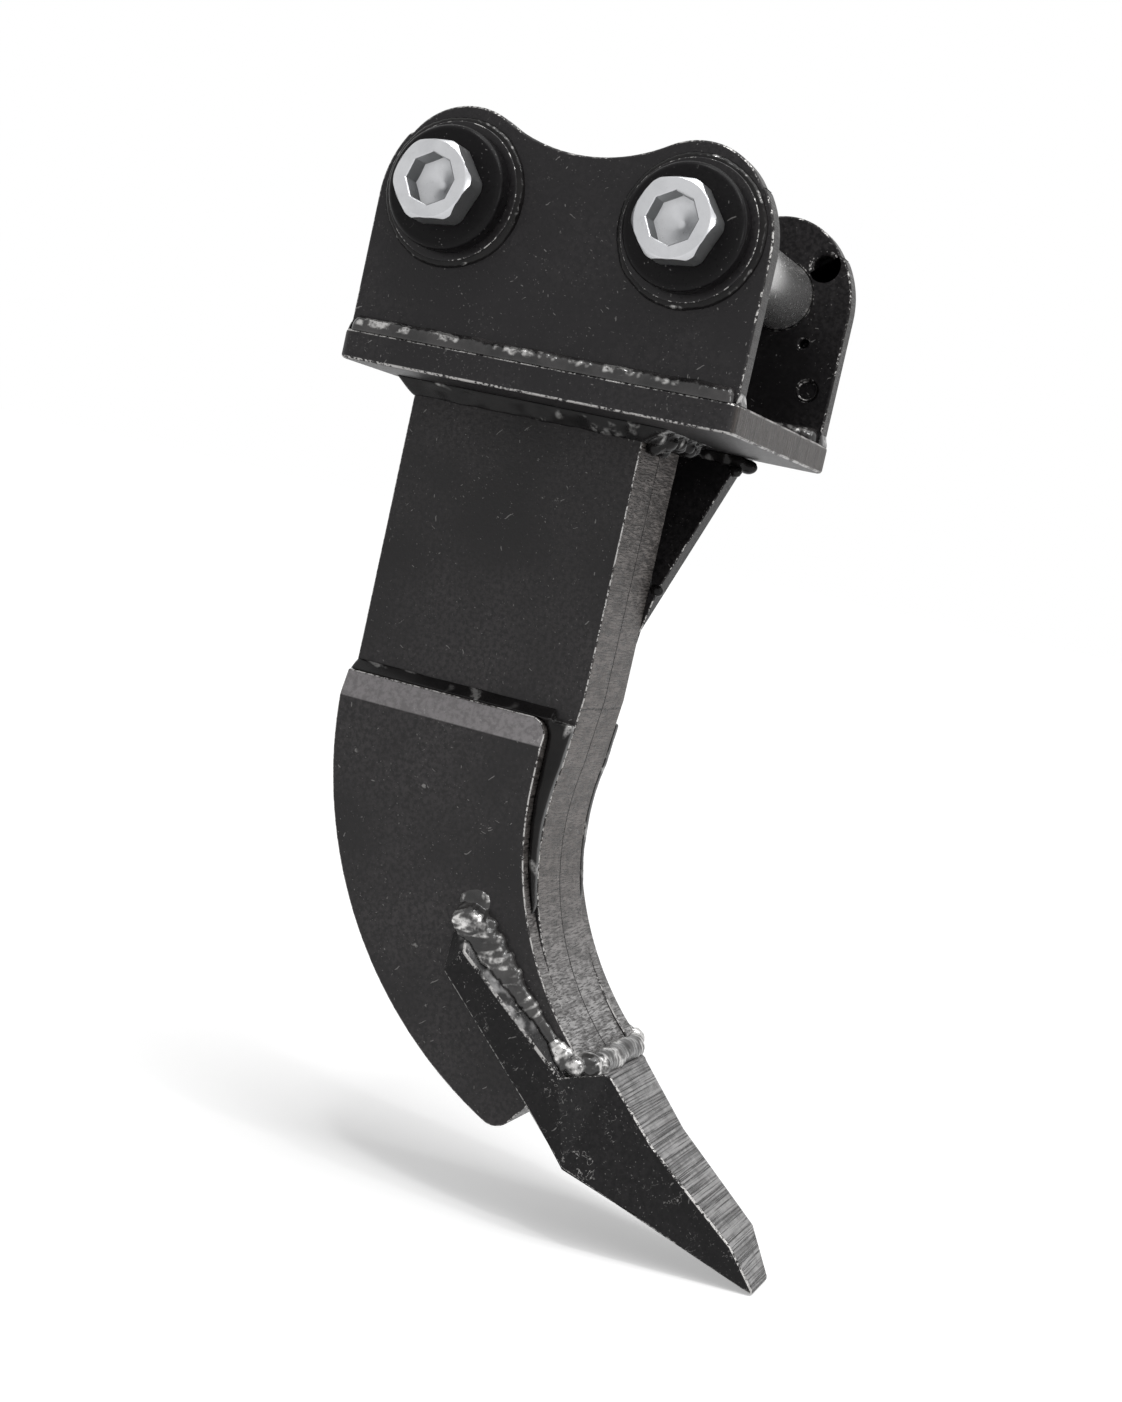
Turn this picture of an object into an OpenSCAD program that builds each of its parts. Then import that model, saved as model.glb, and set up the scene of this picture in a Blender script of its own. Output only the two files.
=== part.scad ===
// Pin-on ripper for a mini excavator.
// The origin is on the axis of the front pin, midway between the ears.
// +X points from the heel to the tooth tip, +Y runs along the pins to the far ear, +Z is up.

/* [Pins and ears] */
// Diameter of each pin
pin_d = 30; // [20:1:40]
// Distance between the two pin axes
pin_centres = 100; // [80:1:140]
// Clear gap between the two ears
ear_gap = 120; // [90:1:180]
// Thickness of each ear plate
ear_t = 10; // [8:0.5:16]
// Height of the pin axes above the base plate
axis_h = 60; // [50:1:90]
// Length of the ear past each pin axis
ear_overhang = 33; // [30:0.5:44]
// Radius of the round lobe over each pin
lobe_r = 30; // [26:0.5:34]
// Height of a lobe's centre above the pin axis
lobe_up = 4.5; // [2:0.5:8]
// Distance of a lobe's centre from the pin axis, towards the saddle
lobe_in = 1.5; // [0:0.5:4]
// Radius of the shoulder below each lobe
shoulder_r = 43; // [40:1:60]
// Height of the kink between lobe and shoulder above the pin axis
kink_h = 20.5; // [16:0.5:23]
// Height of the saddle's lowest point above the pin axis
saddle_h = 22; // [16:0.5:26]
// Diameter of the keeper hole in the far ear
keeper_d = 10; // [6:0.5:12]
// Diameter of the small witness hole in the far ear
witness_d = 4; // [3:0.5:6]
// Diameter of the shallow spot in the far ear
spot_d = 9; // [6:0.5:12]

/* [Base plate] */
// Thickness of the base plate
plate_t = 12; // [8:0.5:20]
// Length of the base plate past each end of the ears
plate_end = 1.5; // [0.5:0.5:10]
// Width of the base plate past the outer face of each ear
plate_side = 3.5; // [2:0.5:10]
// Corner radius of the base plate
plate_corner_r = 5; // [2:0.5:12]

/* [Bosses, caps and bolts] */
// Outer diameter of the boss ring on each ear
boss_d = 55; // [48:1:60]
// Height of the boss ring
boss_t = 3; // [2:0.5:8]
// Diameter of the cap disc on each pin end
cap_d = 49; // [42:1:54]
// Thickness of the cap disc
cap_t = 8; // [6:0.5:14]
// Radius of the cap disc's rounded rim
cap_round = 2.5; // [1:0.5:3]
// Width across the flats of the bolt head
bolt_af = 30; // [24:1:34]
// Height of the bolt head
bolt_head_t = 13; // [10:0.5:18]
// Diameter of the bolt's thread
bolt_d = 16; // [10:1:18]
// Length of the bolt's thread inside the pin
bolt_in = 30; // [15:1:40]
// Width across the corners of the eight-sided recess
recess_w = 19.4; // [14:0.2:20]
// Depth of the recess
recess_h = 7; // [4:0.5:9]

/* [Shank] */
// Thickness of each of the two shank plates
shank_plate_t = 25; // [16:1:30]
// Width of the shank's straight upper part
shank_w = 104.5; // [90:0.5:130]
// Distance of the shank's front edge behind the front pin axis
shank_set = 16.5; // [5:0.5:30]
// Depth below the base plate at which the heel's curve starts
heel_start = 129; // [110:1:160]
// Radius of the heel's curve
heel_r = 179; // [160:1:200]
// Radius of the heel's rounded lower corner
heel_corner_r = 9; // [4:0.5:14]
// Depth below the base plate at which the front edge starts to bend back
bend_start = 114; // [100:1:130]
// Depth below the base plate at which the front edge's curve starts
front_start = 166; // [150:1:190]
// How far the front edge has bent back there
bend_back = 5; // [2:0.5:12]
// Radius of the front edge's curve
front_r = 121; // [105:1:140]
// Angle that the front edge's curve sweeps down to the tooth
front_sweep = 48; // [42:1:54]

/* [Cheek plates] */
// Thickness of each cheek plate
cheek_t = 10; // [6:0.5:14]
// Depth below the base plate of the cheek's top edge
cheek_start = 125; // [115:1:150]
// Distance of the cheek's straight front edge behind the shank's
cheek_set = 10.5; // [8:0.5:14]
// How far above the start of the shank's front curve the cheek's front curve starts
cheek_curve_up = 13; // [6:1:24]
// Radius of the cheek's front curve
cheek_front_r = 136; // [125:1:150]
// Radius of the cheek's upper front corner
cheek_corner_r = 8; // [3:0.5:14]
// Height of the bevel along the cheek's top edge
bevel_h = 11.5; // [4:0.5:16]
// Depth of that bevel into the plate
bevel_in = 3.5; // [1:0.5:5]

/* [Rear brace] */
// Thickness of the brace plate
brace_t = 10; // [6:0.5:14]
// Depth below the base plate at which the brace's outer face meets the shank
brace_h = 85; // [60:1:100]
// Distance of the brace's outer face from the base plate's rear edge
brace_set = 1.5; // [0:0.5:12]
// How much further forward the brace reaches at its top than the shank
brace_flare = 16.5; // [0:0.5:30]

/* [Tooth point] */
// Angle of the tooth's axis below the horizontal
tooth_a = 35.5; // [30:0.5:42]
// Length of the tooth from the shank's end to its tip
tooth_len = 114.5; // [90:0.5:140]
// Length of the fork legs over the cheeks
leg_len = 63.5; // [50:0.5:80]
// Thickness of a fork leg at its upper end
leg_t = 9; // [7:0.5:14]
// Width of a fork leg at its upper end
leg_w = 12.5; // [8:0.5:16]
// Length of the slope on the leg's upper end and upper side
leg_slope = 11; // [4:0.5:14]
// Depth of the tooth's lower corner below its axis
belly_h = 32; // [26:0.5:40]
// Height of the shoulder above the tooth's axis
shoulder_h = 2.5; // [0:0.5:6]
// Width of the tooth's machined upper face at the shoulder
face_w = 46; // [36:1:56]
// Width of the tip
tip_w = 24; // [16:1:34]
// Thickness of the tip
tip_t = 3; // [2:0.5:6]
// Length of the bevel at the tip
tip_bevel = 21; // [10:0.5:30]

/* [Welds] */
// Height of the fillet weld on an ear's faces
ear_weld = 6; // [3:0.5:9]
// Width of the weld ring round a boss
boss_weld = 2.5; // [1:0.5:4]
// Leg of the weld under the base plate, round the shank
shank_weld_leg = 7; // [4:0.5:9]
// Length of the heavier weld at the shank's front edge
shank_weld_front = 12; // [8:0.5:16]
// Height of the weld over the cheek's top edge
cheek_weld = 5; // [3:0.5:8]
// Leg of the brace's fillet welds
brace_weld = 5; // [3:0.5:8]
// Radius of the bead along the tooth's legs
tooth_weld_r = 4.5; // [3:0.5:6]

/* [Hidden] */
$fn = 64;
SIDES = [-1, 1];
// Overrun of every cut past the surface that it goes through
over = 1;
// Clearance of a pin in its bores and of a bolt in its hole
pin_gap = 0.15;
// Dimensions of the bolt head's details
head_chamfer = 2;
head_face_share = 0.96;
recess_rim = 0.5;
recess_rim_share = 0.9;
recess_cone = 2;
cone_share = 0.7;
bolt_turn = 12;
recess_turn = 5;
// Depths and rims of the far ear's holes
keeper_rim = 1.2;
witness_h = 6;
spot_h = 0.6;
// Places of the far ear's holes, as shares of the ear's overhang and of the pin axis height
keeper_x_share = 0.52;
keeper_z_share = 0.26;
witness_x_share = 0.48;
witness_z_share = -0.31;
spot_x_share = 0.67;
spot_z_share = -0.64;

plate_top = -axis_h;
plate_bottom = plate_top - plate_t;
ear_in = ear_gap / 2;
ear_out = ear_in + ear_t;
boss_out = ear_out + boss_t;
cap_out = boss_out + cap_t;
plate_half = ear_out + plate_side;
plate_front = ear_overhang + plate_end;
plate_back = -pin_centres - plate_front;
pin_r = pin_d / 2;

// Circle that is tangent to both lobes and passes through the saddle's lowest point
saddle_run = pin_centres / 2 - lobe_in;
saddle_rise = saddle_h - lobe_up;
saddle_r = (saddle_run * saddle_run + saddle_rise * saddle_rise - lobe_r * lobe_r) / (2 * (lobe_r - saddle_rise));
saddle_touch_share = lobe_r / (lobe_r + saddle_r);

// Outline of the shank in the plane of its plates
shank_half = shank_plate_t;
cheek_out = shank_half + cheek_t;
shank_front = -shank_set;
shank_back = shank_front - shank_w;
heel_c = [shank_back + heel_r, plate_bottom - heel_start];
front_c = [shank_front - bend_back + front_r, plate_bottom - front_start];
// Where the front edge ends, the direction of the tooth and the direction across it
end_p = front_c - front_r * [cos(front_sweep), sin(front_sweep)];
along = [cos(tooth_a), -sin(tooth_a)];
across = [sin(tooth_a), cos(tooth_a)];
// Centre of the heel's rounded corner
corner_from = end_p - heel_corner_r * along - heel_c;
corner_b = -corner_from * across;
corner_k = corner_from * corner_from - pow(heel_r - heel_corner_r, 2);
corner_run = -corner_b + sqrt(corner_b * corner_b - corner_k);
corner_c = heel_c + corner_from - corner_run * across;
corner_dir = (corner_c - heel_c) / norm(corner_c - heel_c);

// Outline of the cheek plate
cheek_top = plate_bottom - cheek_start;
cheek_front = shank_front - cheek_set;
cheek_c = [cheek_front + cheek_front_r, front_c[1] + cheek_curve_up];

// Brace
brace_top_y = plate_half - brace_set;
brace_lean = atan((brace_top_y - shank_half) / brace_h);
brace_across = brace_t / cos(brace_lean);
brace_down = brace_t / sin(brace_lean);

// Tooth, along its axis from the shank's end and across it
leg_out = cheek_out + leg_t;
leg_v_share = -0.2;
leg_rise_share = 0.72;
leg_cut_share = 0.9;
leg_root = 3;
belly_at_share = 0.25;
crown_at_share = 0.09;
waist_at_share = 0.39;
waist_v_share = -0.09;
waist_half_share = 0.9;
nose_v_share = -0.12;
nose_half_share = 0.78;
tip_v_share = -0.33;
belly_root_share = 0.86;
root_v_share = -0.27;
leg_lean_share = 0.045;
leg_low_v = -belly_root_share * belly_h;
leg_high_v = root_v_share * belly_h;
leg_end_v = leg_v_share * belly_h;
leg_end_u = -leg_len - leg_slope;
leg_fall = (leg_end_v + leg_rise_share * leg_slope - ridge_v(leg_end_u)) / (leg_half(leg_end_u) - cheek_out);
crown_u = crown_at_share * tooth_len;
// Lower corners of the tooth at its belly and its tip: along the axis, across it, and half the width
belly_low = [belly_at_share * tooth_len, -belly_h, leg_half(belly_at_share * tooth_len)];
tip_low = [tooth_len, tip_v_share * belly_h - tip_t / 2, tip_w / 2];

// Side weld: how far it follows the front curve
side_weld_share = 0.35;
// Bead beside a leg: places along the leg with the bead's size there, and the section's outer points
bead_shares = [[1.07, 0.8], [1.02, 1.6], [0.95, 1.8], [0.88, 1.45], [0.77, 1.35], [0.64, 1.2], [0.55, 0.95],
    [0.42, 0.8], [0.32, 0.6], [0.2, 0.55], [0.1, 0.8], [0.02, 1]];
bead_side_share = 0.95;
bead_outer_shares = [[0.98, 0.1], [0.62, 0.72], [0, 1]];
// Bead in the notch between the tooth and the shank's end: its section, and how it narrows at the sides
notch_shares = [[0.95, 0.95], [0.72, 1.2], [0.35, 1.27], [0.04, 1.05], [0, 0.77], [0, 0]];
notch_flat_share = 0.8;
notch_flat = min(face_w / 2, notch_flat_share * cheek_out);
notch_end_share = (leg_half(0) - cheek_out) / (leg_half(0) - notch_flat);

// A point of the side view, given along and across the tooth's axis
function tooth_xz(u, v) = end_p + u * along + v * across;

// Half width of the fork's outer faces, which lean in towards the tip
function leg_half(u) = leg_out - leg_lean_share * (u + leg_len);

// A point of the tooth: along its axis, across it, and sideways
function tooth_xyz(u, v, y) = let(p = tooth_xz(u, v)) [p[0], y, p[1]];

// The ridge along a leg's upper side, and the plane that slopes from it down to the cheek
function ridge_v(u) = leg_high_v - u / leg_len * (leg_end_v - leg_high_v);
function slope_v(u, y) = ridge_v(u) + leg_fall * (leg_half(u) - y);

// A solid through rings of points with as many points each. The sides of a mirrored ring are split alike.
module skin(rings) {
    n = len(rings[0]);
    last = len(rings) - 1;
    sides = [for (k = [0:last - 1]) for (i = [0:n - 1])
        let(j = (i + 1) % n, a = k * n + i, b = k * n + j, c = a + n, d = b + n)
        each i < n / 2 ? [[a, b, d], [a, d, c]] : [[a, b, c], [b, d, c]]];
    polyhedron(points = [for (r = rings) each r],
        faces = concat([[for (i = [n - 1:-1:0]) i]], sides, [[for (i = [0:n - 1]) last * n + i]]));
}

// A plate in the X-Z plane between two Y values
module plate_xz(y0, y1) {
    translate([0, y1, 0]) rotate([90, 0, 0]) linear_extrude(y1 - y0) children();
}

// A bar along X between two X values, from its section in the Y-Z plane
module bar_x(x0, x1) {
    translate([x0, 0, 0]) rotate([90, 0, 90]) linear_extrude(x1 - x0) children();
}

// Places its children on an ear's side at one pin axis, with their +Z pointing outwards
module outward(x, side, y) {
    translate([x, side * y, 0]) rotate([-side * 90, 0, 0]) children();
}

module box_2d(low, high) {
    translate(low) square(high - low);
}

// Shoulder and lobe over one pin, mirrored for the back pin
module ear_end_2d() {
    translate([-lobe_in, lobe_up]) circle(lobe_r);
    intersection() {
        translate([ear_overhang - shoulder_r, -lobe_up]) circle(shoulder_r);
        box_2d([-lobe_in, -lobe_up], [ear_overhang, kink_h]);
    }
}

module ear_2d() {
    touch = [saddle_run, saddle_rise + saddle_r] * saddle_touch_share;
    difference() {
        union() {
            ear_end_2d();
            translate([-pin_centres, 0]) mirror([1, 0]) ear_end_2d();
            box_2d([-pin_centres - ear_overhang, plate_top], [ear_overhang, -lobe_up]);
            box_2d([-pin_centres + lobe_in + touch[0], -lobe_up - over], [-lobe_in - touch[0], lobe_up + touch[1]]);
        }
        translate([-pin_centres / 2, saddle_h + saddle_r]) circle(saddle_r, $fn = 2 * $fn);
    }
}

module ear(y0, y1) {
    difference() {
        plate_xz(y0, y1) ear_2d();
        for (x = [0, -pin_centres])
            translate([x, y1 + over, 0]) rotate([90, 0, 0]) cylinder(r = pin_r + pin_gap, h = y1 - y0 + 2 * over);
    }
}

module near_ear() {
    color("#302d2f") ear(-ear_out, -ear_in);
}

module far_ear() {
    color("#302d2f") difference() {
        ear(ear_in, ear_out);
        far_ear_hole(keeper_x_share, keeper_z_share, keeper_d, ear_t + over);
        far_ear_hole(witness_x_share, witness_z_share, witness_d, witness_h);
        far_ear_hole(spot_x_share, spot_z_share, spot_d, spot_h);
        translate([keeper_x_share * ear_overhang, ear_in - over, keeper_z_share * axis_h])
            rotate([-90, 0, 0])
                cylinder(r1 = keeper_d / 2 + keeper_rim + over, r2 = keeper_d / 2, h = keeper_rim + over);
    }
}

module far_ear_hole(x_share, z_share, d, h) {
    translate([x_share * ear_overhang, ear_in - over, z_share * axis_h])
        rotate([-90, 0, 0]) cylinder(d = d, h = h + over);
}

module base_plate() {
    r = plate_corner_r;
    color("#302d2f") translate([0, 0, plate_bottom]) linear_extrude(plate_t) union() {
        box_2d([plate_back + r, -plate_half], [plate_front - r, plate_half]);
        box_2d([plate_back, r - plate_half], [plate_front, plate_half - r]);
        for (x = [plate_back + r, plate_front - r]) for (s = SIDES)
            translate([x, s * (plate_half - r)]) circle(r);
    }
}

module boss(x, side) {
    color("#262426") outward(x, side, ear_out) difference() {
        cylinder(d = boss_d, h = boss_t);
        translate([0, 0, -over]) cylinder(r = pin_r + pin_gap, h = boss_t + 2 * over);
    }
}

module cap(x, side) {
    r = cap_d / 2;
    color("#1c1b1c") outward(x, side, boss_out) rotate_extrude() difference() {
        union() {
            box_2d([0, 0], [r - cap_round, cap_t]);
            box_2d([0, 0], [r, cap_t - cap_round]);
            translate([r - cap_round, cap_t - cap_round]) circle(cap_round);
        }
        box_2d([-over - cap_round, -over - cap_t], [bolt_d / 2 + pin_gap, cap_t + over]);
    }
}

module bolt(x, side) {
    corner_r = bolt_af / 2 / cos(30);
    face_r = head_face_share * bolt_af / 2;
    spread = (corner_r - face_r) * bolt_head_t / head_chamfer;
    rim_low_r = recess_rim_share * recess_w / 2;
    rim_t = recess_w / 2 + recess_rim - rim_low_r;
    cone_r = cone_share * recess_w / 2;
    color("silver") outward(x, side, cap_out) difference() {
        union() {
            intersection() {
                rotate(bolt_turn) cylinder(r = corner_r, h = bolt_head_t, $fn = 6);
                cylinder(r1 = face_r + spread, r2 = face_r, h = bolt_head_t);
            }
            translate([0, 0, -cap_t - bolt_in]) cylinder(d = bolt_d, h = cap_t + bolt_in + over);
        }
        translate([0, 0, bolt_head_t - recess_h]) rotate(recess_turn)
            cylinder(d = recess_w, h = recess_h + over, $fn = 8);
        translate([0, 0, bolt_head_t - rim_t])
            cylinder(r1 = rim_low_r, r2 = rim_low_r + rim_t + over, h = rim_t + over);
        translate([0, 0, bolt_head_t - recess_h - recess_cone])
            cylinder(r1 = 0, r2 = cone_r * (1 + recess_rim / recess_cone), h = recess_cone + recess_rim);
    }
}

module pin(x) {
    color("#b9b9b8") translate([x, boss_out, 0]) rotate([90, 0, 0]) difference() {
        cylinder(d = pin_d, h = 2 * boss_out);
        translate([0, 0, -over]) cylinder(r = bolt_d / 2 + pin_gap, h = bolt_in + 2 * over);
        translate([0, 0, 2 * boss_out - bolt_in - over])
            cylinder(r = bolt_d / 2 + pin_gap, h = bolt_in + 2 * over);
    }
}

// Everything behind the front edge of the shank or of a cheek is kept
module before_front_2d(edge, start, centre, r) {
    box_2d([edge, start], [edge + r, plate_bottom + over]);
    translate(centre) circle(r, $fn = 2 * $fn);
}

// Outline of the heel's curve and the end under the tooth, below a given height
module heel_2d(top) {
    past_line = corner_c + 2 * heel_corner_r * along;
    tangent_arc = heel_c + heel_r * corner_dir;
    far_r = 2 * heel_r;
    difference() {
        union() {
            box_2d([shank_back, heel_c[1]], [heel_c[0], top]);
            intersection() {
                translate(heel_c) circle(heel_r, $fn = 4 * $fn);
                box_2d([shank_back - over, heel_c[1] - heel_r - over], [heel_c[0], min(top, heel_c[1])]);
            }
        }
        polygon([end_p + far_r * across, end_p - far_r * across,
            end_p - far_r * across + far_r * along, end_p + far_r * across + far_r * along]);
        polygon([corner_c, past_line, past_line - 2 * heel_corner_r * across,
            tangent_arc + 2 * heel_corner_r * corner_dir, tangent_arc]);
    }
    translate(corner_c) circle(heel_corner_r);
}

module shank_2d() {
    difference() {
        heel_2d(plate_bottom);
        before_front_2d(shank_front, plate_bottom - bend_start, front_c, front_r);
        polygon([[shank_front, plate_bottom - bend_start], [shank_front - bend_back, front_c[1]],
            front_c, [front_c[0], plate_bottom - bend_start]]);
    }
}

module shank_plate(side) {
    color("#343133")
        plate_xz(min(0, side * shank_plate_t), max(0, side * shank_plate_t)) shank_2d();
}

module cheek_2d() {
    r = cheek_corner_r;
    difference() {
        heel_2d(cheek_top);
        before_front_2d(cheek_front, cheek_c[1], cheek_c, cheek_front_r);
        box_2d([cheek_front - r, cheek_top - r], [cheek_front + over, cheek_top + over]);
    }
    translate([cheek_front - r, cheek_top - r]) circle(r);
}

module cheek(side) {
    slope = (bevel_in + over) * bevel_h / bevel_in;
    color("#343133") difference() {
        plate_xz(min(side * shank_half, side * cheek_out), max(side * shank_half, side * cheek_out)) cheek_2d();
        bar_x(shank_back - over, shank_front) polygon([
            [side * cheek_out, cheek_top - bevel_h],
            [side * (cheek_out + over), cheek_top - bevel_h],
            [side * (cheek_out + over), cheek_top + slope - bevel_h],
            [side * (cheek_out - bevel_in - over), cheek_top + slope - bevel_h]]);
    }
}

module rear_brace() {
    color("#302d2f") intersection() {
        bar_x(shank_back, shank_front + brace_flare) polygon([
            [brace_top_y, plate_bottom], [shank_half, plate_bottom - brace_h],
            [shank_half, plate_bottom - brace_h + brace_down], [brace_top_y - brace_across, plate_bottom]]);
        plate_xz(shank_half - over, plate_half) polygon([
            [shank_back, plate_bottom], [shank_back, plate_bottom - brace_h],
            [shank_front, plate_bottom - brace_h], [shank_front + brace_flare, plate_bottom]]);
    }
}

// The tooth's straight lower edge, a share of the way from its belly to its tip
function low_edge(share) = belly_low + share * (tip_low - belly_low);

// One cross-section of the tooth's body: its upper edge and half width there, and its lower corner
function body_ring(u, v, half, low) = [
    tooth_xyz(u, v, half), tooth_xyz(low[0], low[1], low[2]),
    tooth_xyz(low[0], low[1], -low[2]), tooth_xyz(u, v, -half)];

module tooth_body() {
    half = face_w / 2;
    waist_u = waist_at_share * tooth_len;
    nose_u = tooth_len - tip_bevel;
    skin([
        body_ring(0, leg_high_v, leg_half(0), [0, leg_low_v, leg_half(0)]),
        body_ring(crown_u, shoulder_h, half, belly_low),
        body_ring(waist_u, waist_v_share * belly_h, waist_half_share * half, low_edge(waist_at_share)),
        body_ring(nose_u, nose_v_share * belly_h, nose_half_share * half, low_edge(nose_u / tooth_len)),
        body_ring(tooth_len - tip_t / 2, tip_low[1] + tip_t / 2, tip_low[2], tip_low)]);
}

// A fork leg on the near cheek, with its upper end and its upper side sloping down to the cheek
module tooth_leg() {
    end_half = leg_half(-leg_len);
    skin([
        [tooth_xyz(-leg_len, leg_end_v - leg_w, -end_half), tooth_xyz(-leg_len, leg_end_v, -end_half),
            tooth_xyz(leg_end_u, slope_v(leg_end_u, cheek_out), -cheek_out),
            tooth_xyz(leg_end_u, leg_end_v - leg_w + leg_cut_share * leg_slope, -cheek_out)],
        [tooth_xyz(0, leg_low_v, -leg_half(0)), tooth_xyz(0, leg_high_v, -leg_half(0)),
            tooth_xyz(0, slope_v(0, cheek_out), -cheek_out), tooth_xyz(0, leg_low_v, -cheek_out)],
        [tooth_xyz(leg_root, leg_low_v + leg_root, -cheek_out),
            tooth_xyz(leg_root, leg_high_v - leg_root, -cheek_out),
            tooth_xyz(leg_root, leg_high_v - leg_root, -shank_half),
            tooth_xyz(leg_root, leg_low_v + leg_root, -shank_half)]]);
}

module tooth_solid() {
    tooth_body();
    tooth_leg();
    mirror([0, 1, 0]) tooth_leg();
}

module tooth_point() {
    color("#2c2a2c") union() tooth_solid();
}

module ear_welds() {
    color("#3b393a") for (s = SIDES) {
        bar_x(-pin_centres - ear_overhang, ear_overhang) polygon([[s * ear_out, plate_top],
            [s * plate_half, plate_top], [s * ear_out, plate_top + ear_weld]]);
        bar_x(-pin_centres - ear_overhang, ear_overhang) polygon([[s * ear_in, plate_top],
            [s * (ear_in - ear_weld), plate_top], [s * ear_in, plate_top + ear_weld]]);
    }
}

module boss_welds() {
    r = boss_d / 2;
    color("#3b393a") for (x = [0, -pin_centres]) for (s = SIDES)
        outward(x, s, ear_out) rotate_extrude()
            polygon([[r, 0], [r + boss_weld, 0], [r, min(boss_weld, boss_t)]]);
}

module shank_weld() {
    leg = shank_weld_leg;
    wide = shank_front + shank_weld_front;
    color("#3b393a") difference() {
        skin([
            [for (p = [[shank_back, 1], [shank_front, 1], [shank_front, -1], [shank_back, -1]])
                [p[0], p[1] * shank_half, plate_bottom - leg]],
            [for (p = [[shank_back - leg, 1], [wide, 1], [wide, -1], [shank_back - leg, -1]])
                [p[0], p[1] * (shank_half + leg), plate_bottom]]]);
        plate_xz(-shank_half, shank_half) box_2d([shank_back, plate_bottom - leg - over], [shank_front, plate_top]);
    }
}

// The weld down the cheek's front edge lies on the shank's face beside it
module cheek_side_weld_2d() {
    difference() {
        intersection() {
            shank_2d();
            box_2d([cheek_front - cheek_corner_r, front_c[1] - side_weld_share * front_r], [shank_front, cheek_top]);
        }
        cheek_2d();
    }
}

module cheek_welds() {
    foot = cheek_t - bevel_in;
    color("#3b393a") for (s = SIDES) {
        bar_x(shank_back, cheek_front) polygon([[s * shank_half, cheek_top],
            [s * (shank_half + foot), cheek_top], [s * shank_half, cheek_top + cheek_weld]]);
        plate_xz(s < 0 ? -shank_half - cheek_weld : shank_half, s < 0 ? -shank_half : shank_half + cheek_weld)
            cheek_side_weld_2d();
    }
}

module brace_welds() {
    w = brace_weld;
    up = w * [sin(brace_lean), cos(brace_lean)];
    low = [shank_half, plate_bottom - brace_h];
    crook = low + [0, brace_down];
    top = [brace_top_y - brace_across, plate_bottom];
    color("#3b393a") {
        bar_x(shank_back, shank_front) polygon([low, low + up, low - [0, w]]);
        bar_x(shank_back, shank_front) polygon([crook, crook + [0, w], crook + up]);
        bar_x(shank_back, shank_front + brace_flare - brace_weld) polygon([top, top - up, top - [w, 0]]);
    }
}

// One cross-section of the bead in the corner between the near cheek and the leg's sloping side
function leg_bead_ring(u, r) =
    let(side = cheek_out + bead_side_share * r, foot = slope_v(u, cheek_out))
    [tooth_xyz(u, slope_v(u, side), -side),
        for (p = bead_outer_shares) tooth_xyz(u, foot + p[1] * r, -cheek_out - p[0] * r),
        tooth_xyz(u, foot, -cheek_out)];

// One cross-section of the bead in the notch, shrunk towards the notch's bottom
function notch_ring(y, size_share) = [for (p = size_share * notch_shares)
    tooth_xyz(p[0] * crown_u, leg_high_v + p[1] * (shoulder_h - leg_high_v), y)];

module tooth_welds() {
    color("#3b393a") {
        for (s = SIDES) mirror([0, s < 0 ? 0 : 1, 0])
            skin([for (p = bead_shares) leg_bead_ring(p[0] * leg_end_u, p[1] * tooth_weld_r)]);
        skin([notch_ring(-cheek_out, notch_end_share), notch_ring(-notch_flat, 1),
            notch_ring(notch_flat, 1), notch_ring(cheek_out, notch_end_share)]);
    }
}

base_plate();
near_ear();
far_ear();
boss(0, -1);  // near_front_boss
boss(-pin_centres, -1);  // near_back_boss
boss(0, 1);  // far_front_boss
boss(-pin_centres, 1);  // far_back_boss
cap(0, -1);  // near_front_cap
cap(-pin_centres, -1);  // near_back_cap
cap(0, 1);  // far_front_cap
cap(-pin_centres, 1);  // far_back_cap
bolt(0, -1);  // near_front_bolt
bolt(-pin_centres, -1);  // near_back_bolt
bolt(0, 1);  // far_front_bolt
bolt(-pin_centres, 1);  // far_back_bolt
pin(0);  // front_pin
pin(-pin_centres);  // back_pin
shank_plate(-1);  // near_shank_plate
shank_plate(1);  // far_shank_plate
cheek(-1);  // near_cheek
cheek(1);  // far_cheek
rear_brace();
tooth_point();
ear_welds();
boss_welds();
shank_weld();
cheek_welds();
brace_welds();
tooth_welds();
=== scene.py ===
"""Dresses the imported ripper: worn charcoal paint, bare cut edges, bright fasteners and rippled weld beads."""

import logging
import math
from collections.abc import Iterable, Sequence
from dataclasses import dataclass, field, replace
from enum import Enum
from functools import partialmethod
from typing import NamedTuple

import bmesh
import bpy
from mathutils import Matrix, Vector, noise


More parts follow.
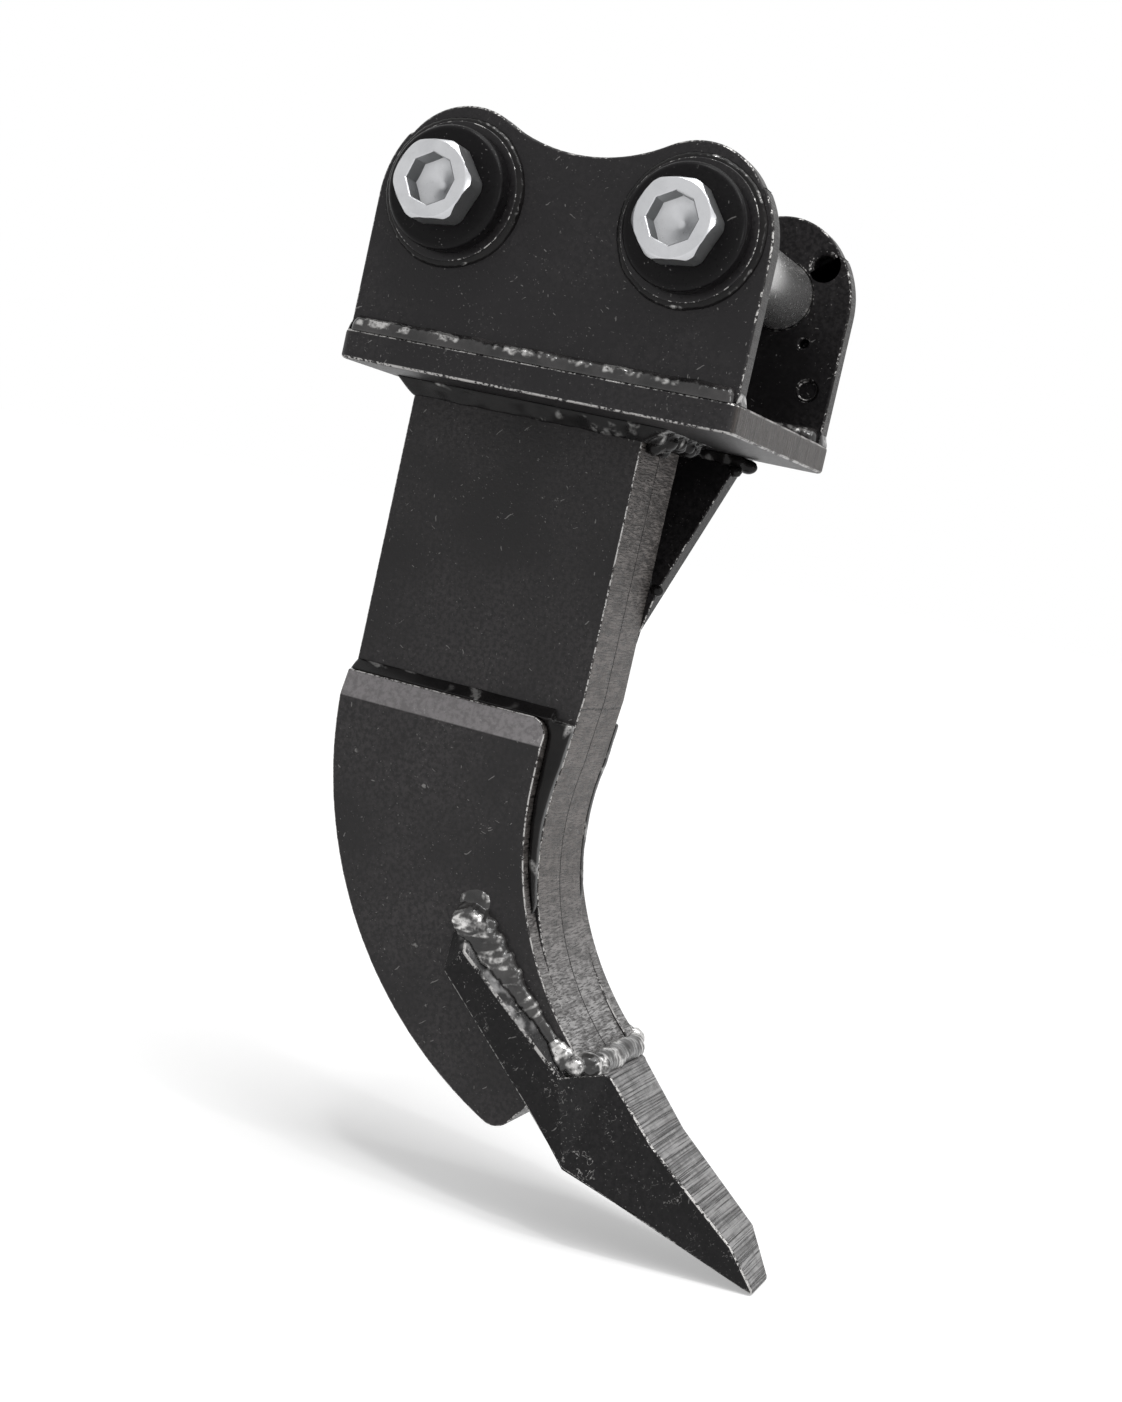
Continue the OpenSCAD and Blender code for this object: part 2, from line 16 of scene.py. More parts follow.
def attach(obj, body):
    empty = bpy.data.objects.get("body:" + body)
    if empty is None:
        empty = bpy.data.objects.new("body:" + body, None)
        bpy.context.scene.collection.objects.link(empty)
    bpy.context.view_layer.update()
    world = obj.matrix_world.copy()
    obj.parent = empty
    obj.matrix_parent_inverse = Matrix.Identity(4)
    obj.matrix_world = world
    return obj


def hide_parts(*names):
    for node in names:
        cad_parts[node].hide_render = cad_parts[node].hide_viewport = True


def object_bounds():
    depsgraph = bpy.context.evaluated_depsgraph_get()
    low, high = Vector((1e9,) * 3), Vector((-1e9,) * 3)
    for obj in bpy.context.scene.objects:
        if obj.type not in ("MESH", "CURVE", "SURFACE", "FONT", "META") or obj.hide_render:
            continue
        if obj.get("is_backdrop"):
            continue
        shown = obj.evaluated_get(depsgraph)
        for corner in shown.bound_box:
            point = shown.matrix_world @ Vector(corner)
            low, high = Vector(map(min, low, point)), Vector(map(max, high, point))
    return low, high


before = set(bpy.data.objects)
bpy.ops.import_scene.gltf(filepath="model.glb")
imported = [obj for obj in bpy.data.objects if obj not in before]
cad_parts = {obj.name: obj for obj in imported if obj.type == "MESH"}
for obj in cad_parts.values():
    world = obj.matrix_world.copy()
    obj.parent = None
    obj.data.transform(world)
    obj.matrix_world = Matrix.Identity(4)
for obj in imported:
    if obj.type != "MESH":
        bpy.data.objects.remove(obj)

LOG = logging.getLogger("ripper")
EDGE_MARK = "edge"
MM = 0.001
Colour = tuple[float, float, float]
Socket = bpy.types.NodeSocket
FORWARDS = (1.0, 0.0, 0.0)
SIDEWAYS = (0.0, 1.0, 0.0)
UPWARDS = (0.0, 0.0, 1.0)
TOOTH_TILT = math.radians(35.5)
TOOTH_ROOT = Vector((18.54 * MM, 0.0, -327.92 * MM))
TOOTH_ALONG = Vector((math.cos(TOOTH_TILT), 0.0, -math.sin(TOOTH_TILT)))
TOOTH_ACROSS = Vector((math.sin(TOOTH_TILT), 0.0, math.cos(TOOTH_TILT)))


class Slot(Enum):
    """The material slots."""

    MOUNT = "mount"
    SHANK = "shank"
    BOSS = "boss"
    CAP = "cap"
    ZINC = "zinc"
    PIN = "pin"
    TOOTH = "tooth"
    WELD = "weld"


class Axis(Enum):
    """An axis of the part's frame, by its place in a vector."""

    X = 0
    Y = 1
    Z = 2


class Noise(NamedTuple):
    """A noise texture: its scale, its octaves and how strong the finer ones are."""

    scale: float
    detail: float = 2.0
    rough: float = 0.5


class Span(NamedTuple):
    """A stretch of values, from where a mask is 0 to where it is 1."""

    low: float
    high: float


def tooth_place(u: float, v: float, y: float) -> Vector:
    """Gives a point of the tooth.

    Args:
        u: How far along its axis from the shank's end, in millimetres.
        v: How far across it, upwards, in millimetres.
        y: How far sideways, in millimetres.

    Returns:
        The point, in metres.
    """
    return TOOTH_ROOT + TOOTH_ALONG * (u * MM) + TOOTH_ACROSS * (v * MM) + Vector((0.0, y * MM, 0.0))


# Shader wiring


class Wiring:
    """Adds nodes to one shader tree and links them."""

    def __init__(self, tree: bpy.types.NodeTree) -> None:
        """Keeps the tree.

        Args:
            tree: A material's or a group's node tree.
        """
        self.tree = tree

    def add(self, kind: str, **settings: object) -> bpy.types.Node:
        """Adds a node.

        Args:
            kind: The node's type, without its ShaderNode prefix.
            settings: Values of the node's own properties.

        Returns:
            The new node.
        """
        node = self.tree.nodes.new(kind if kind.startswith("NodeGroup") else "ShaderNode" + kind)
        for name, value in settings.items():
            setattr(node, name, value)
        return node

    def join(self, source: object, target: Socket) -> None:
        """Links a socket to a target, or writes a plain value there.

        Args:
            source: An output socket, a number, a colour or a vector.
            target: The input socket.
        """
        if isinstance(source, Socket):
            self.tree.links.new(source, target)
        elif target.type == "RGBA" and len(source) == 3:
            target.default_value = (*source, 1.0)
        else:
            target.default_value = source

    def math(self, operation: str, a: object, b: object = 0.0, clamp: bool = False) -> Socket:
        """Adds a Math node on two sockets or numbers.

        Args:
            operation: The operation's name.
            a: The first value.
            b: The second value.
            clamp: Keeps the result between 0 and 1.

        Returns:
            The result's socket.
        """
        node = self.add("Math", operation=operation, use_clamp=clamp)
        self.join(a, node.inputs[0])
        self.join(b, node.inputs[1])
        return node.outputs[0]

    def chain(self, operation: str, *values: object, clamp: bool = False) -> Socket:
        """Joins two or more values by one operation, from the first to the last.

        Args:
            operation: The Math node's operation.
            values: The sockets or numbers.
            clamp: Keeps each result between 0 and 1.

        Returns:
            The result's socket.
        """
        result = values[0]
        for value in values[1:]:
            result = self.math(operation, result, value, clamp)
        return result

    times = partialmethod(chain, "MULTIPLY")
    plus = partialmethod(chain, "ADD")
    minus = partialmethod(chain, "SUBTRACT")
    most = partialmethod(chain, "MAXIMUM")

    def unsigned(self, value: object) -> Socket:
        """Takes the sign off a value."""
        return self.math("ABSOLUTE", value)

    def span(self, value: object, low: float, high: float) -> Socket:
        """Maps a value from low..high to 0..1, clamped and smooth.

        Args:
            value: The value to map.
            low: Where the result is 0.
            high: Where the result is 1.

        Returns:
            The result's socket.
        """
        node = self.add("MapRange", interpolation_type="SMOOTHSTEP")
        self.join(value, node.inputs["Value"])
        self.join(low, node.inputs["From Min"])
        self.join(high, node.inputs["From Max"])
        return node.outputs["Result"]

    def blend(self, share: object, a: object, b: object) -> Socket:
        """Mixes two colours.

        Args:
            share: How much of b there is.
            a: The first colour.
            b: The second colour.

        Returns:
            The mixed colour's socket.
        """
        node = self.add("Mix", data_type="RGBA")
        self.join(share, node.inputs["Factor"])
        self.join(a, node.inputs[6])
        self.join(b, node.inputs[7])
        return node.outputs[2]

    def mix(self, share: object, a: object, b: object) -> Socket:
        """Mixes two numbers.

        Args:
            share: How much of b there is.
            a: The first number.
            b: The second number.

        Returns:
            The mixed number's socket.
        """
        node = self.add("Mix", data_type="FLOAT")
        self.join(share, node.inputs[0])
        self.join(a, node.inputs[2])
        self.join(b, node.inputs[3])
        return node.outputs[0]

    def clouds(self, place: object, scale: object, detail: float = 2.0, rough: float = 0.5) -> Socket:
        """Adds a noise texture and gives its value.

        Args:
            place: The texture's coordinates.
            scale: Its scale.
            detail: Its number of octaves.
            rough: How strong the finer octaves are.

        Returns:
            The value's socket.
        """
        node = self.add("TexNoise")
        self.join(place, node.inputs["Vector"])
        self.join(scale, node.inputs["Scale"])
        self.join(detail, node.inputs["Detail"])
        self.join(rough, node.inputs["Roughness"])
        return node.outputs["Fac"]

    def place(self) -> Socket:
        """Gives the object's own coordinates, which are metres in the part's frame."""
        return self.add("TexCoord").outputs["Object"]

    def edge_mark(self) -> Socket:
        """Gives the mesh's own mark of worn edges and weld crests."""
        return self.add("Attribute", attribute_name=EDGE_MARK).outputs["Fac"]

    def near_points(self, spots: Sequence[tuple[Vector, float]], core: float = 0.0) -> object:
        """Marks the surroundings of some points of the part.

        Args:
            spots: The points and how far the mark reaches round each, in metres.
            core: The share of that reach within which the mark is full.

        Returns:
            The mark: 1 at a point and 0 from its reach on. A plain 0 where there are no points.
        """
        place = self.place()
        mark: object = 0.0
        for centre, reach in spots:
            off = self.add("VectorMath", operation="DISTANCE")
            self.join(place, off.inputs[0])
            off.inputs[1].default_value = centre
            mark = self.most(mark, self.span(off.outputs["Value"], reach, core * reach))
        return mark

    def shifted(self, place: object, by: float) -> Socket:
        """Moves coordinates, so that a second texture differs from the first.

        Args:
            place: The coordinates.
            by: How far, along each axis.

        Returns:
            The new coordinates' socket.
        """
        node = self.add("VectorMath", operation="ADD")
        self.join(place, node.inputs[0])
        node.inputs[1].default_value = (by, by, by)
        return node.outputs[0]

    def facing(self, direction: Sequence[float]) -> Socket:
        """Gives how far the surface faces a fixed direction of the part.

        Args:
            direction: The direction, of length 1.

        Returns:
            The cosine's socket.
        """
        node = self.add("VectorMath", operation="DOT_PRODUCT")
        self.join(self.add("TexCoord").outputs["Normal"], node.inputs[0])
        node.inputs[1].default_value = direction
        return node.outputs["Value"]

    def stretched(self, place: object, turn: Sequence[float], scale: Sequence[float]) -> Socket:
        """Turns and stretches coordinates.

        Args:
            place: The coordinates.
            turn: Rotation about each axis, in radians.
            scale: Scale along each turned axis.

        Returns:
            The new coordinates' socket.
        """
        turned = self.add("Mapping", vector_type="POINT")
        self.join(place, turned.inputs["Vector"])
        turned.inputs["Rotation"].default_value = turn
        node = self.add("VectorMath", operation="MULTIPLY")
        self.join(turned.outputs["Vector"], node.inputs[0])
        node.inputs[1].default_value = scale
        return node.outputs[0]


class Effect:
    """A shader node group with named inputs and outputs, built once."""

    def __init__(self, name: str, inputs: dict[str, float], outputs: Sequence[str]) -> None:
        """Makes the group and its sockets.

        Args:
            name: The group's name.
            inputs: Its number inputs, with their first values.
            outputs: Its number outputs.
        """
        self.tree = bpy.data.node_groups.new(name, "ShaderNodeTree")
        for label, value in inputs.items():
            socket = self.tree.interface.new_socket(label, in_out="INPUT", socket_type="NodeSocketFloat")
            socket.default_value = value
        for label in outputs:
            self.tree.interface.new_socket(label, in_out="OUTPUT", socket_type="NodeSocketFloat")
        self.wires = Wiring(self.tree)
        self.given = self.tree.nodes.new("NodeGroupInput").outputs
        self.result = self.tree.nodes.new("NodeGroupOutput").inputs

    def put(self, wires: Wiring, **values: object) -> bpy.types.bpy_prop_collection:
        """Places the group in a material.

        Args:
            wires: The material's wiring.
            values: Values or sockets for the inputs, by name.

        Returns:
            The placed group's outputs.
        """
        node = wires.add("Group", node_tree=self.tree)
        for label, value in values.items():
            wires.join(value, node.inputs[label])
        return node.outputs


@dataclass(frozen=True)
class EdgeWear:
    """A thin broken line on the mesh's rounded edges, and a rubbed strip beside them."""

    dots: Noise = Noise(760.0, 3.0, 0.7)
    dots_share: float = 0.7
    patches: Noise = Noise(95.0, 3.0, 0.6)
    patches_share: float = 0.5
    least: float = 0.90
    cover_share: float = 0.5
    softness: float = 0.05
    ridge: Span = Span(0.40, 0.90)
    turn: Span = Span(0.005, 0.16)
    patchy: Span = Span(0.38, 0.66)
    reach: float = 2 * MM
    samples: int = 4

    def build(self) -> Effect:
        """Builds the group.

        Returns:
            The group: Line is the worn line, Band the rubbed strip in patches, and Near the whole strip.
        """
        effect = Effect("Edge wear", {"Cover": 0.5}, ("Line", "Band", "Near"))
        w = effect.wires
        place = w.place()
        dots = w.times(w.clouds(place, *self.dots), self.dots_share)
        patches = w.clouds(place, *self.patches)
        floor = w.minus(self.least, w.times(effect.given["Cover"], self.cover_share))
        gate = w.span(w.plus(dots, w.times(patches, self.patches_share)), floor, w.plus(floor, self.softness))
        w.join(w.times(w.span(w.edge_mark(), *self.ridge), gate), effect.result["Line"])
        bevel = w.add("Bevel", samples=self.samples)
        bevel.inputs["Radius"].default_value = self.reach
        dot = w.add("VectorMath", operation="DOT_PRODUCT")
        w.join(bevel.outputs["Normal"], dot.inputs[0])
        w.join(w.add("NewGeometry").outputs["Normal"], dot.inputs[1])
        near = w.span(w.minus(1.0, dot.outputs["Value"]), *self.turn)
        w.join(w.times(near, w.span(patches, *self.patchy)), effect.result["Band"])
        w.join(near, effect.result["Near"])
        return effect


@dataclass(frozen=True)
class Specks:
    """Tiny irregular chips scattered over a face, in loose clusters."""

    clusters: Noise = Noise(34.0, 4.0, 0.65)
    clustered: Span = Span(0.40, 0.68)
    fine: Noise = Noise(1150.0, 1.0)
    fine_share: float = 0.75
    broad: Noise = Noise(520.0, 2.0, 0.7)
    shift: float = 3.7
    least: float = 0.735
    cluster_share: float = 0.07
    fine_top: float = 0.03
    broad_top: float = 0.05

    def build(self) -> Effect:
        """Builds the group.

        Returns:
            The group, with output Mask.
        """
        effect = Effect("Specks", {"Density": 0.5}, ("Mask",))
        w = effect.wires
        place = w.place()
        cluster = w.span(w.clouds(place, *self.clusters), *self.clustered)
        floor = w.minus(self.least, w.times(cluster, self.cluster_share, effect.given["Density"]))
        above = w.plus(floor, self.fine_top)
        tiny = w.span(w.clouds(place, *self.fine), floor, above)
        broad = w.clouds(w.shifted(place, self.shift), *self.broad)
        big = w.span(broad, above, w.plus(floor, self.broad_top))
        w.join(w.most(w.times(tiny, self.fine_share), big), effect.result["Mask"])
        return effect


@dataclass(frozen=True)
class Scratches:
    """Short thin scratches that lie in a few directions and bend a little."""

    bend_scale: float = 210.0
    bend: float = 2.6 * MM
    thinnest: float = 0.06
    thicker: float = 0.16
    runs: tuple[tuple[tuple[float, float, float], float, float], ...] = (
        ((0.10, 0.70, 0.15), 80.0, 820.0),
        ((-0.20, 1.75, 0.10), 95.0, 900.0),
        ((0.30, 2.60, -0.20), 60.0, 1000.0),
        ((0.20, 0.10, 1.30), 90.0, 900.0),
    )

    def build(self) -> Effect:
        """Builds the group from its runs: the turn of each, and its scale along and across.

        Returns:
            The group, with output Mask.
        """
        effect = Effect("Scratches", {"Density": 0.15}, ("Mask",))
        w = effect.wires
        place = w.place()
        bend = w.add("TexNoise")
        w.join(place, bend.inputs["Vector"])
        bend.inputs["Scale"].default_value = self.bend_scale
        warp = w.add("VectorMath", operation="MULTIPLY_ADD")
        w.join(bend.outputs["Color"], warp.inputs[0])
        warp.inputs[1].default_value = (self.bend, self.bend, self.bend)
        w.join(place, warp.inputs[2])
        mask: object = 0.0
        for turn, along, across in self.runs:
            cells = w.add("TexVoronoi", feature="F1")
            w.join(w.stretched(warp.outputs[0], turn, (along, across, across)), cells.inputs["Vector"])
            cells.inputs["Scale"].default_value = 1.0
            chance = w.add("SeparateColor")
            w.join(cells.outputs["Color"], chance.inputs[0])
            kept = w.math("LESS_THAN", chance.outputs[0], effect.given["Density"])
            width = w.plus(self.thinnest, w.times(chance.outputs[1], self.thicker))
            mask = w.most(mask, w.times(kept, w.math("LESS_THAN", cells.outputs["Distance"], width)))
        w.join(mask, effect.result["Mask"])
        return effect


@dataclass(frozen=True)
class Flakes:
    """Flaked paint: thin curled outlines and small bare patches, in loose clusters."""

    shapes: Noise = Noise(210.0, 3.0, 0.55)
    outline_at: float = 0.56
    outline: Span = Span(0.011, 0.004)
    bare: Span = Span(0.66, 0.69)
    clusters: Noise = Noise(85.0, 4.0, 0.65)
    shift: float = 9.1
    local_share: float = 0.24
    density_share: float = 0.2
    clustered: Span = Span(0.68, 0.76)

    def build(self) -> Effect:
        """Builds the group.

        Returns:
            The group, with output Mask; its input Local, from 0 to 1, adds flakes where it is high.
        """
        effect = Effect("Flakes", {"Density": 0.3, "Local": 0.0}, ("Mask",))
        w = effect.wires
        place = w.place()
        shape = w.clouds(place, *self.shapes)
        outline = w.span(w.unsigned(w.minus(shape, self.outline_at)), *self.outline)
        extra = w.times(effect.given["Local"], self.local_share)
        extra = w.plus(extra, w.times(effect.given["Density"], self.density_share))
        cluster = w.clouds(w.shifted(place, self.shift), *self.clusters)
        gate = w.span(w.plus(cluster, extra), *self.clustered)
        w.join(w.times(w.most(outline, w.span(shape, *self.bare)), gate), effect.result["Mask"])
        return effect


@dataclass(frozen=True)
class Mottle:
    """Slow changes over a surface, and a fine grain."""

    cloud_scale: float = 18.0
    cloud_rough: float = 0.6
    cloudy: Span = Span(0.3, 0.7)
    grain_scale: float = 520.0
    grain_rough: float = 0.65
    octaves: float = 4.0

    def build(self) -> Effect:
        """Builds the group.

        Returns:
            The group, with outputs Cloud for slow changes and Grain for the fine ones.
        """
        scales = {"Cloud scale": self.cloud_scale, "Grain scale": self.grain_scale}
        effect = Effect("Mottle", scales, ("Cloud", "Grain"))
        w = effect.wires
        place = w.place()
        clouds = w.clouds(place, effect.given["Cloud scale"], self.octaves, self.cloud_rough)
        w.join(w.span(clouds, *self.cloudy), effect.result["Cloud"])
        grain = w.clouds(place, effect.given["Grain scale"], self.octaves, self.grain_rough)
        w.join(grain, effect.result["Grain"])
        return effect


@dataclass(frozen=True)
class Effects:
    """The effects that several finishes share."""

    edge_wear: Effect
    specks: Effect
    scratches: Effect
    flakes: Effect
    mottle: Effect

    @classmethod
    def build(cls) -> "Effects":
        """Builds each group once."""
        return cls(*(kind().build() for kind in (EdgeWear, Specks, Scratches, Flakes, Mottle)))


# Finishes


def new_material(name: str) -> tuple[bpy.types.Material, Wiring, bpy.types.Node]:
    """Makes an empty material with a Principled shader.

    Args:
        name: The material's name.

    Returns:
        The material, its wiring and its shader node.
    """
    material = bpy.data.materials.new(name)
    material.use_nodes = True
    material.node_tree.nodes.clear()
    wires = Wiring(material.node_tree)
    shader = wires.add("BsdfPrincipled")
    output = wires.add("OutputMaterial")
    wires.join(shader.outputs[0], output.inputs["Surface"])
    return material, wires, shader


def add_bump(wires: Wiring, shader: bpy.types.Node, height: object, strength: float, depth: float) -> None:
    """Feeds a height to the shader's normal.

    Args:
        wires: The material's wiring.
        shader: The shader node.
        height: The height's socket, from 0 to 1.
        strength: The bump's strength.
        depth: The height of 1, in metres.
    """
    bump = wires.add("Bump")
    bump.inputs["Strength"].default_value = strength
    bump.inputs["Distance"].default_value = depth
    wires.join(height, bump.inputs["Height"])
    wires.join(bump.outputs["Normal"], shader.inputs["Normal"])


@dataclass(frozen=True)
class CutFace:
    """Faces that show cut or machined steel instead of paint, and the lines on them."""

    towards: tuple[float, float, float]
    shown: Span
    either_way: bool = True
    colour: Colour = (0.125, 0.112, 0.105)
    dark: Colour = (0.030, 0.027, 0.026)
    crack: Colour = (0.012, 0.011, 0.011)
    roughness: float = 0.40
    roughness_spread: float = 0.1
    metal: float = 0.7
    depth: float = 1.0
    lines_along: Axis = Axis.Y
    line_scale: float = 1300.0
    line_stretch: float = 0.035
    line_detail: float = 3.0
    line_rough: float = 0.6
    lined: Span = Span(0.32, 0.70)
    group_scale_share: float = 0.2
    group_shift: float = 5.3
    spots: Noise = Noise(150.0, 4.0, 0.7)
    toned: Span = Span(0.34, 0.66)
    tones: Span = Span(0.35, 1.30)
    rubbed: Span | None = None
    rubbed_colour: Colour = (0.27, 0.265, 0.265)
    rim: float = 0.0
    # Painted shade: spots round which the faces keep their paint instead of cut steel, so that holes stay dark
    # inside.
    hole_shade_spots: tuple[tuple[Vector, float], ...] = ()
    hole_shade_core: float = 0.6
    seam: bool = False
    seam_width: Span = Span(0.60 * MM, 0.25 * MM)
    seam_wobble_share: float = 0.4
    seam_gaps: Span = Span(0.45, 1.0)
    creases: tuple[float, ...] = ()
    crease_width: Span = Span(0.70 * MM, 0.25 * MM)
    crease_gaps: Span = Span(0.3, 0.9)
    wobbles: Noise = Noise(170.0, 3.0, 0.6)
    wobble: float = 2.2 * MM
    gaps: Noise = Noise(430.0, 2.0, 0.6)
    gapped: Span = Span(0.40, 0.50)

    def wire(self, w: Wiring, part: float) -> tuple[Socket, Socket, Socket]:
        """Wires the mask, the colour and the lines of the cut faces.

        Args:
            w: The material's wiring.
            part: How much of the paint these faces lose.

        Returns:
            The sockets of the mask, the colour and the lines.
        """
        facing = w.facing(self.towards)
        if self.either_way:
            facing = w.unsigned(facing)
        share = w.times(w.span(facing, *self.shown), part)
        # Painted shade inside holes: no cut steel round these spots.
        for spot in self.hole_shade_spots:
            share = w.times(share, w.minus(1.0, w.near_points((spot,), self.hole_shade_core)))
        place = w.place()
        stretch = [1.0, 1.0, 1.0]
        stretch[self.lines_along.value] = self.line_stretch
        along = w.stretched(place, (0.0, 0.0, 0.0), stretch)
        lines = w.span(w.clouds(along, self.line_scale, self.line_detail, self.line_rough), *self.lined)
        group_scale = self.group_scale_share * self.line_scale
        groups = w.clouds(w.shifted(along, self.group_shift), group_scale, self.line_detail, self.line_rough)
        patchy = w.times(w.plus(groups, w.clouds(place, *self.spots)), 0.5)
        tone = w.mix(w.span(patchy, *self.toned), *self.tones)
        bright: object = self.colour
        if self.rubbed is not None:
            spot = w.add("SeparateXYZ")
            w.join(place, spot.inputs[0])
            bright = w.blend(w.span(spot.outputs[2], *self.rubbed), bright, self.rubbed_colour)
        colour = w.blend(w.times(lines, tone, clamp=True), self.dark, bright)
        if self.seam or self.creases:
            colour = w.blend(self._cracks(w), colour, self.crack)
        return share, colour, lines

    def _cracks(self, w: Wiring) -> Socket:
        """Wires the dark broken seam between the two plates and the level creases.

        Args:
            w: The material's wiring.

        Returns:
            The mask's socket.
        """
        place = w.place()
        spot = w.add("SeparateXYZ")
        w.join(place, spot.inputs[0])
        wobble = w.times(w.minus(w.clouds(place, *self.wobbles), 0.5), self.wobble)
        gate = w.span(w.clouds(place, *self.gaps), *self.gapped)
        mask: object = 0.0
        if self.seam:
            off = w.unsigned(w.plus(spot.outputs[1], w.times(wobble, self.seam_wobble_share)))
            mask = w.times(w.span(off, *self.seam_width), w.mix(gate, *self.seam_gaps))
        for level in self.creases:
            off = w.unsigned(w.plus(w.minus(spot.outputs[2], level), wobble))
            mask = w.most(mask, w.times(w.span(off, *self.crease_width), w.mix(gate, *self.crease_gaps)))
        return mask


ACROSS_Y = CutFace(towards=SIDEWAYS, shown=Span(0.75, 0.35))


@dataclass(frozen=True)
class WornPaint:
    """Satin charcoal paint over mill scale, rubbed to bare steel on edges, with chips and scratches."""

    name: str
    colour: Colour = (0.0105, 0.0095, 0.0105)
    dust: Colour = (0.026, 0.024, 0.025)
    bare: Colour = (0.46, 0.45, 0.44)
    cut: CutFace | None = None
    cut_share: float = 1.0
    roughness: float = 0.44
    smoother: float = 0.12
    rougher: float = 0.14
    bare_roughness: float = 0.36
    gloss: float = 0.25
    stipple: Span = Span(0.34, 0.66)
    grain_depth: float = 0.26 * MM
    chip_depth_share: float = 0.3
    wear_cover: float = 0.55
    line_strength: float = 0.85
    strip_strength: float = 0.5
    speck_density: float = 0.45
    speck_strength: float = 0.17
    scratch_density: float = 0.05
    scratch_strength: float = 0.30
    flake_density: float = 0.2
    flake_strengths: Span = Span(0.38, 0.75)
    rubs: tuple[tuple[Vector, float], ...] = ()
    # Painted highlights: bright blotches near these points on slanted faces.
    glints: tuple[tuple[Vector, float], ...] = ()
    glint_colour: Colour = (0.42, 0.415, 0.415)
    glint_core: float = 0.4
    glint_slant: Span = Span(0.985, 0.93)
    blotches: Noise = Noise(120.0, 3.0)
    blotched: Span = Span(0.40, 0.66)
    # Crackled paint on the faces that lean upwards, made lighter there as a painted highlight.
    band_and_sheen_colour: Colour | None = None
    band_rise: Span = Span(0.14, 0.27)
    band_side: Span = Span(0.86, 0.93)
    crackle: Noise = Noise(420.0, 4.0, 0.7)
    crackled: Span = Span(0.36, 0.62)
    crackle_tones: Span = Span(0.66, 1.0)

    def build(self, effects: Effects) -> bpy.types.Material:
        """Builds the material.

        Args:
            effects: The shared effects.

        Returns:
            The material.
        """
        material, w, shader = new_material(self.name)
        mottle = effects.mottle.put(w)
        wear = effects.edge_wear.put(w, Cover=self.wear_cover)
        chips = w.most(w.times(wear["Line"], self.line_strength), self._marks(w, effects), clamp=True)
        stipple = w.span(mottle["Grain"], *self.stipple)
        painted = w.blend(w.times(mottle["Cloud"], stipple), self.colour, self.dust)
        painted = w.blend(w.times(wear["Band"], self.strip_strength), painted, self.dust)
        # Painted highlights near the glint points.
        if self.glints:
            painted = w.blend(self._shine(w), painted, self.glint_colour)
        if self.band_and_sheen_colour is not None:
            painted = w.blend(self._crackle_and_sheen(w), painted, self.band_and_sheen_colour)
        rough = w.mix(mottle["Grain"], self.roughness - self.smoother, self.roughness + self.rougher)
        metal: object = chips
        height = w.plus(mottle["Grain"], w.times(chips, -self.chip_depth_share))
        if self.cut is not None:
            cut = self.cut
            share, steel, lines = cut.wire(w, self.cut_share)
            if cut.rim > 0.0:
                steel = w.blend(w.times(wear["Near"], cut.rim), steel, cut.dark)
            painted = w.blend(share, painted, steel)
            ends = (cut.roughness - cut.roughness_spread, cut.roughness + cut.roughness_spread)
            rough = w.mix(share, rough, w.mix(lines, *ends))
            metal = w.most(chips, w.times(share, cut.metal), clamp=True)
            height = w.plus(height, w.times(lines, share, cut.depth))
        w.join(w.blend(chips, painted, self.bare), shader.inputs["Base Color"])
        w.join(w.mix(chips, rough, self.bare_roughness), shader.inputs["Roughness"])
        w.join(metal, shader.inputs["Metallic"])
        shader.inputs["Specular IOR Level"].default_value = self.gloss
        add_bump(w, shader, height, 1.0, self.grain_depth)
        return material

    def _marks(self, w: Wiring, effects: Effects) -> Socket:
        """Wires the specks, the scratches and the flakes.

        Args:
            w: The material's wiring.
            effects: The shared effects.

        Returns:
            The mask's socket.
        """
        rubbed = w.near_points(self.rubs)
        specks = effects.specks.put(w, Density=self.speck_density)["Mask"]
        scratches = effects.scratches.put(w, Density=self.scratch_density)["Mask"]
        flakes = effects.flakes.put(w, Density=self.flake_density, Local=rubbed)["Mask"]
        return w.most(
            w.times(specks, self.speck_strength),
            w.times(scratches, self.scratch_strength),
            w.times(flakes, w.mix(rubbed, *self.flake_strengths)),
        )

    def _shine(self, w: Wiring) -> Socket:
        """Wires painted highlights: bright blotches on the slanted faces near the glint points.

        Args:
            w: The material's wiring.

        Returns:
            The mask's socket.
        """
        slanted = w.span(w.unsigned(w.facing(SIDEWAYS)), *self.glint_slant)
        blotches = w.span(w.clouds(w.place(), *self.blotches), *self.blotched)
        return w.times(w.near_points(self.glints, self.glint_core), slanted, blotches)

    def _crackle_and_sheen(self, w: Wiring) -> Socket:
        """Wires the crackled band on the faces that lean upwards from the side, lighter there as a painted
        highlight.

        Args:
            w: The material's wiring.

        Returns:
            The mask's socket.
        """
        rise = w.span(w.facing(UPWARDS), *self.band_rise)
        side = w.span(w.unsigned(w.facing(SIDEWAYS)), *self.band_side)
        crackle = w.span(w.clouds(w.place(), *self.crackle), *self.crackled)
        return w.times(rise, side, w.mix(crackle, *self.crackle_tones))


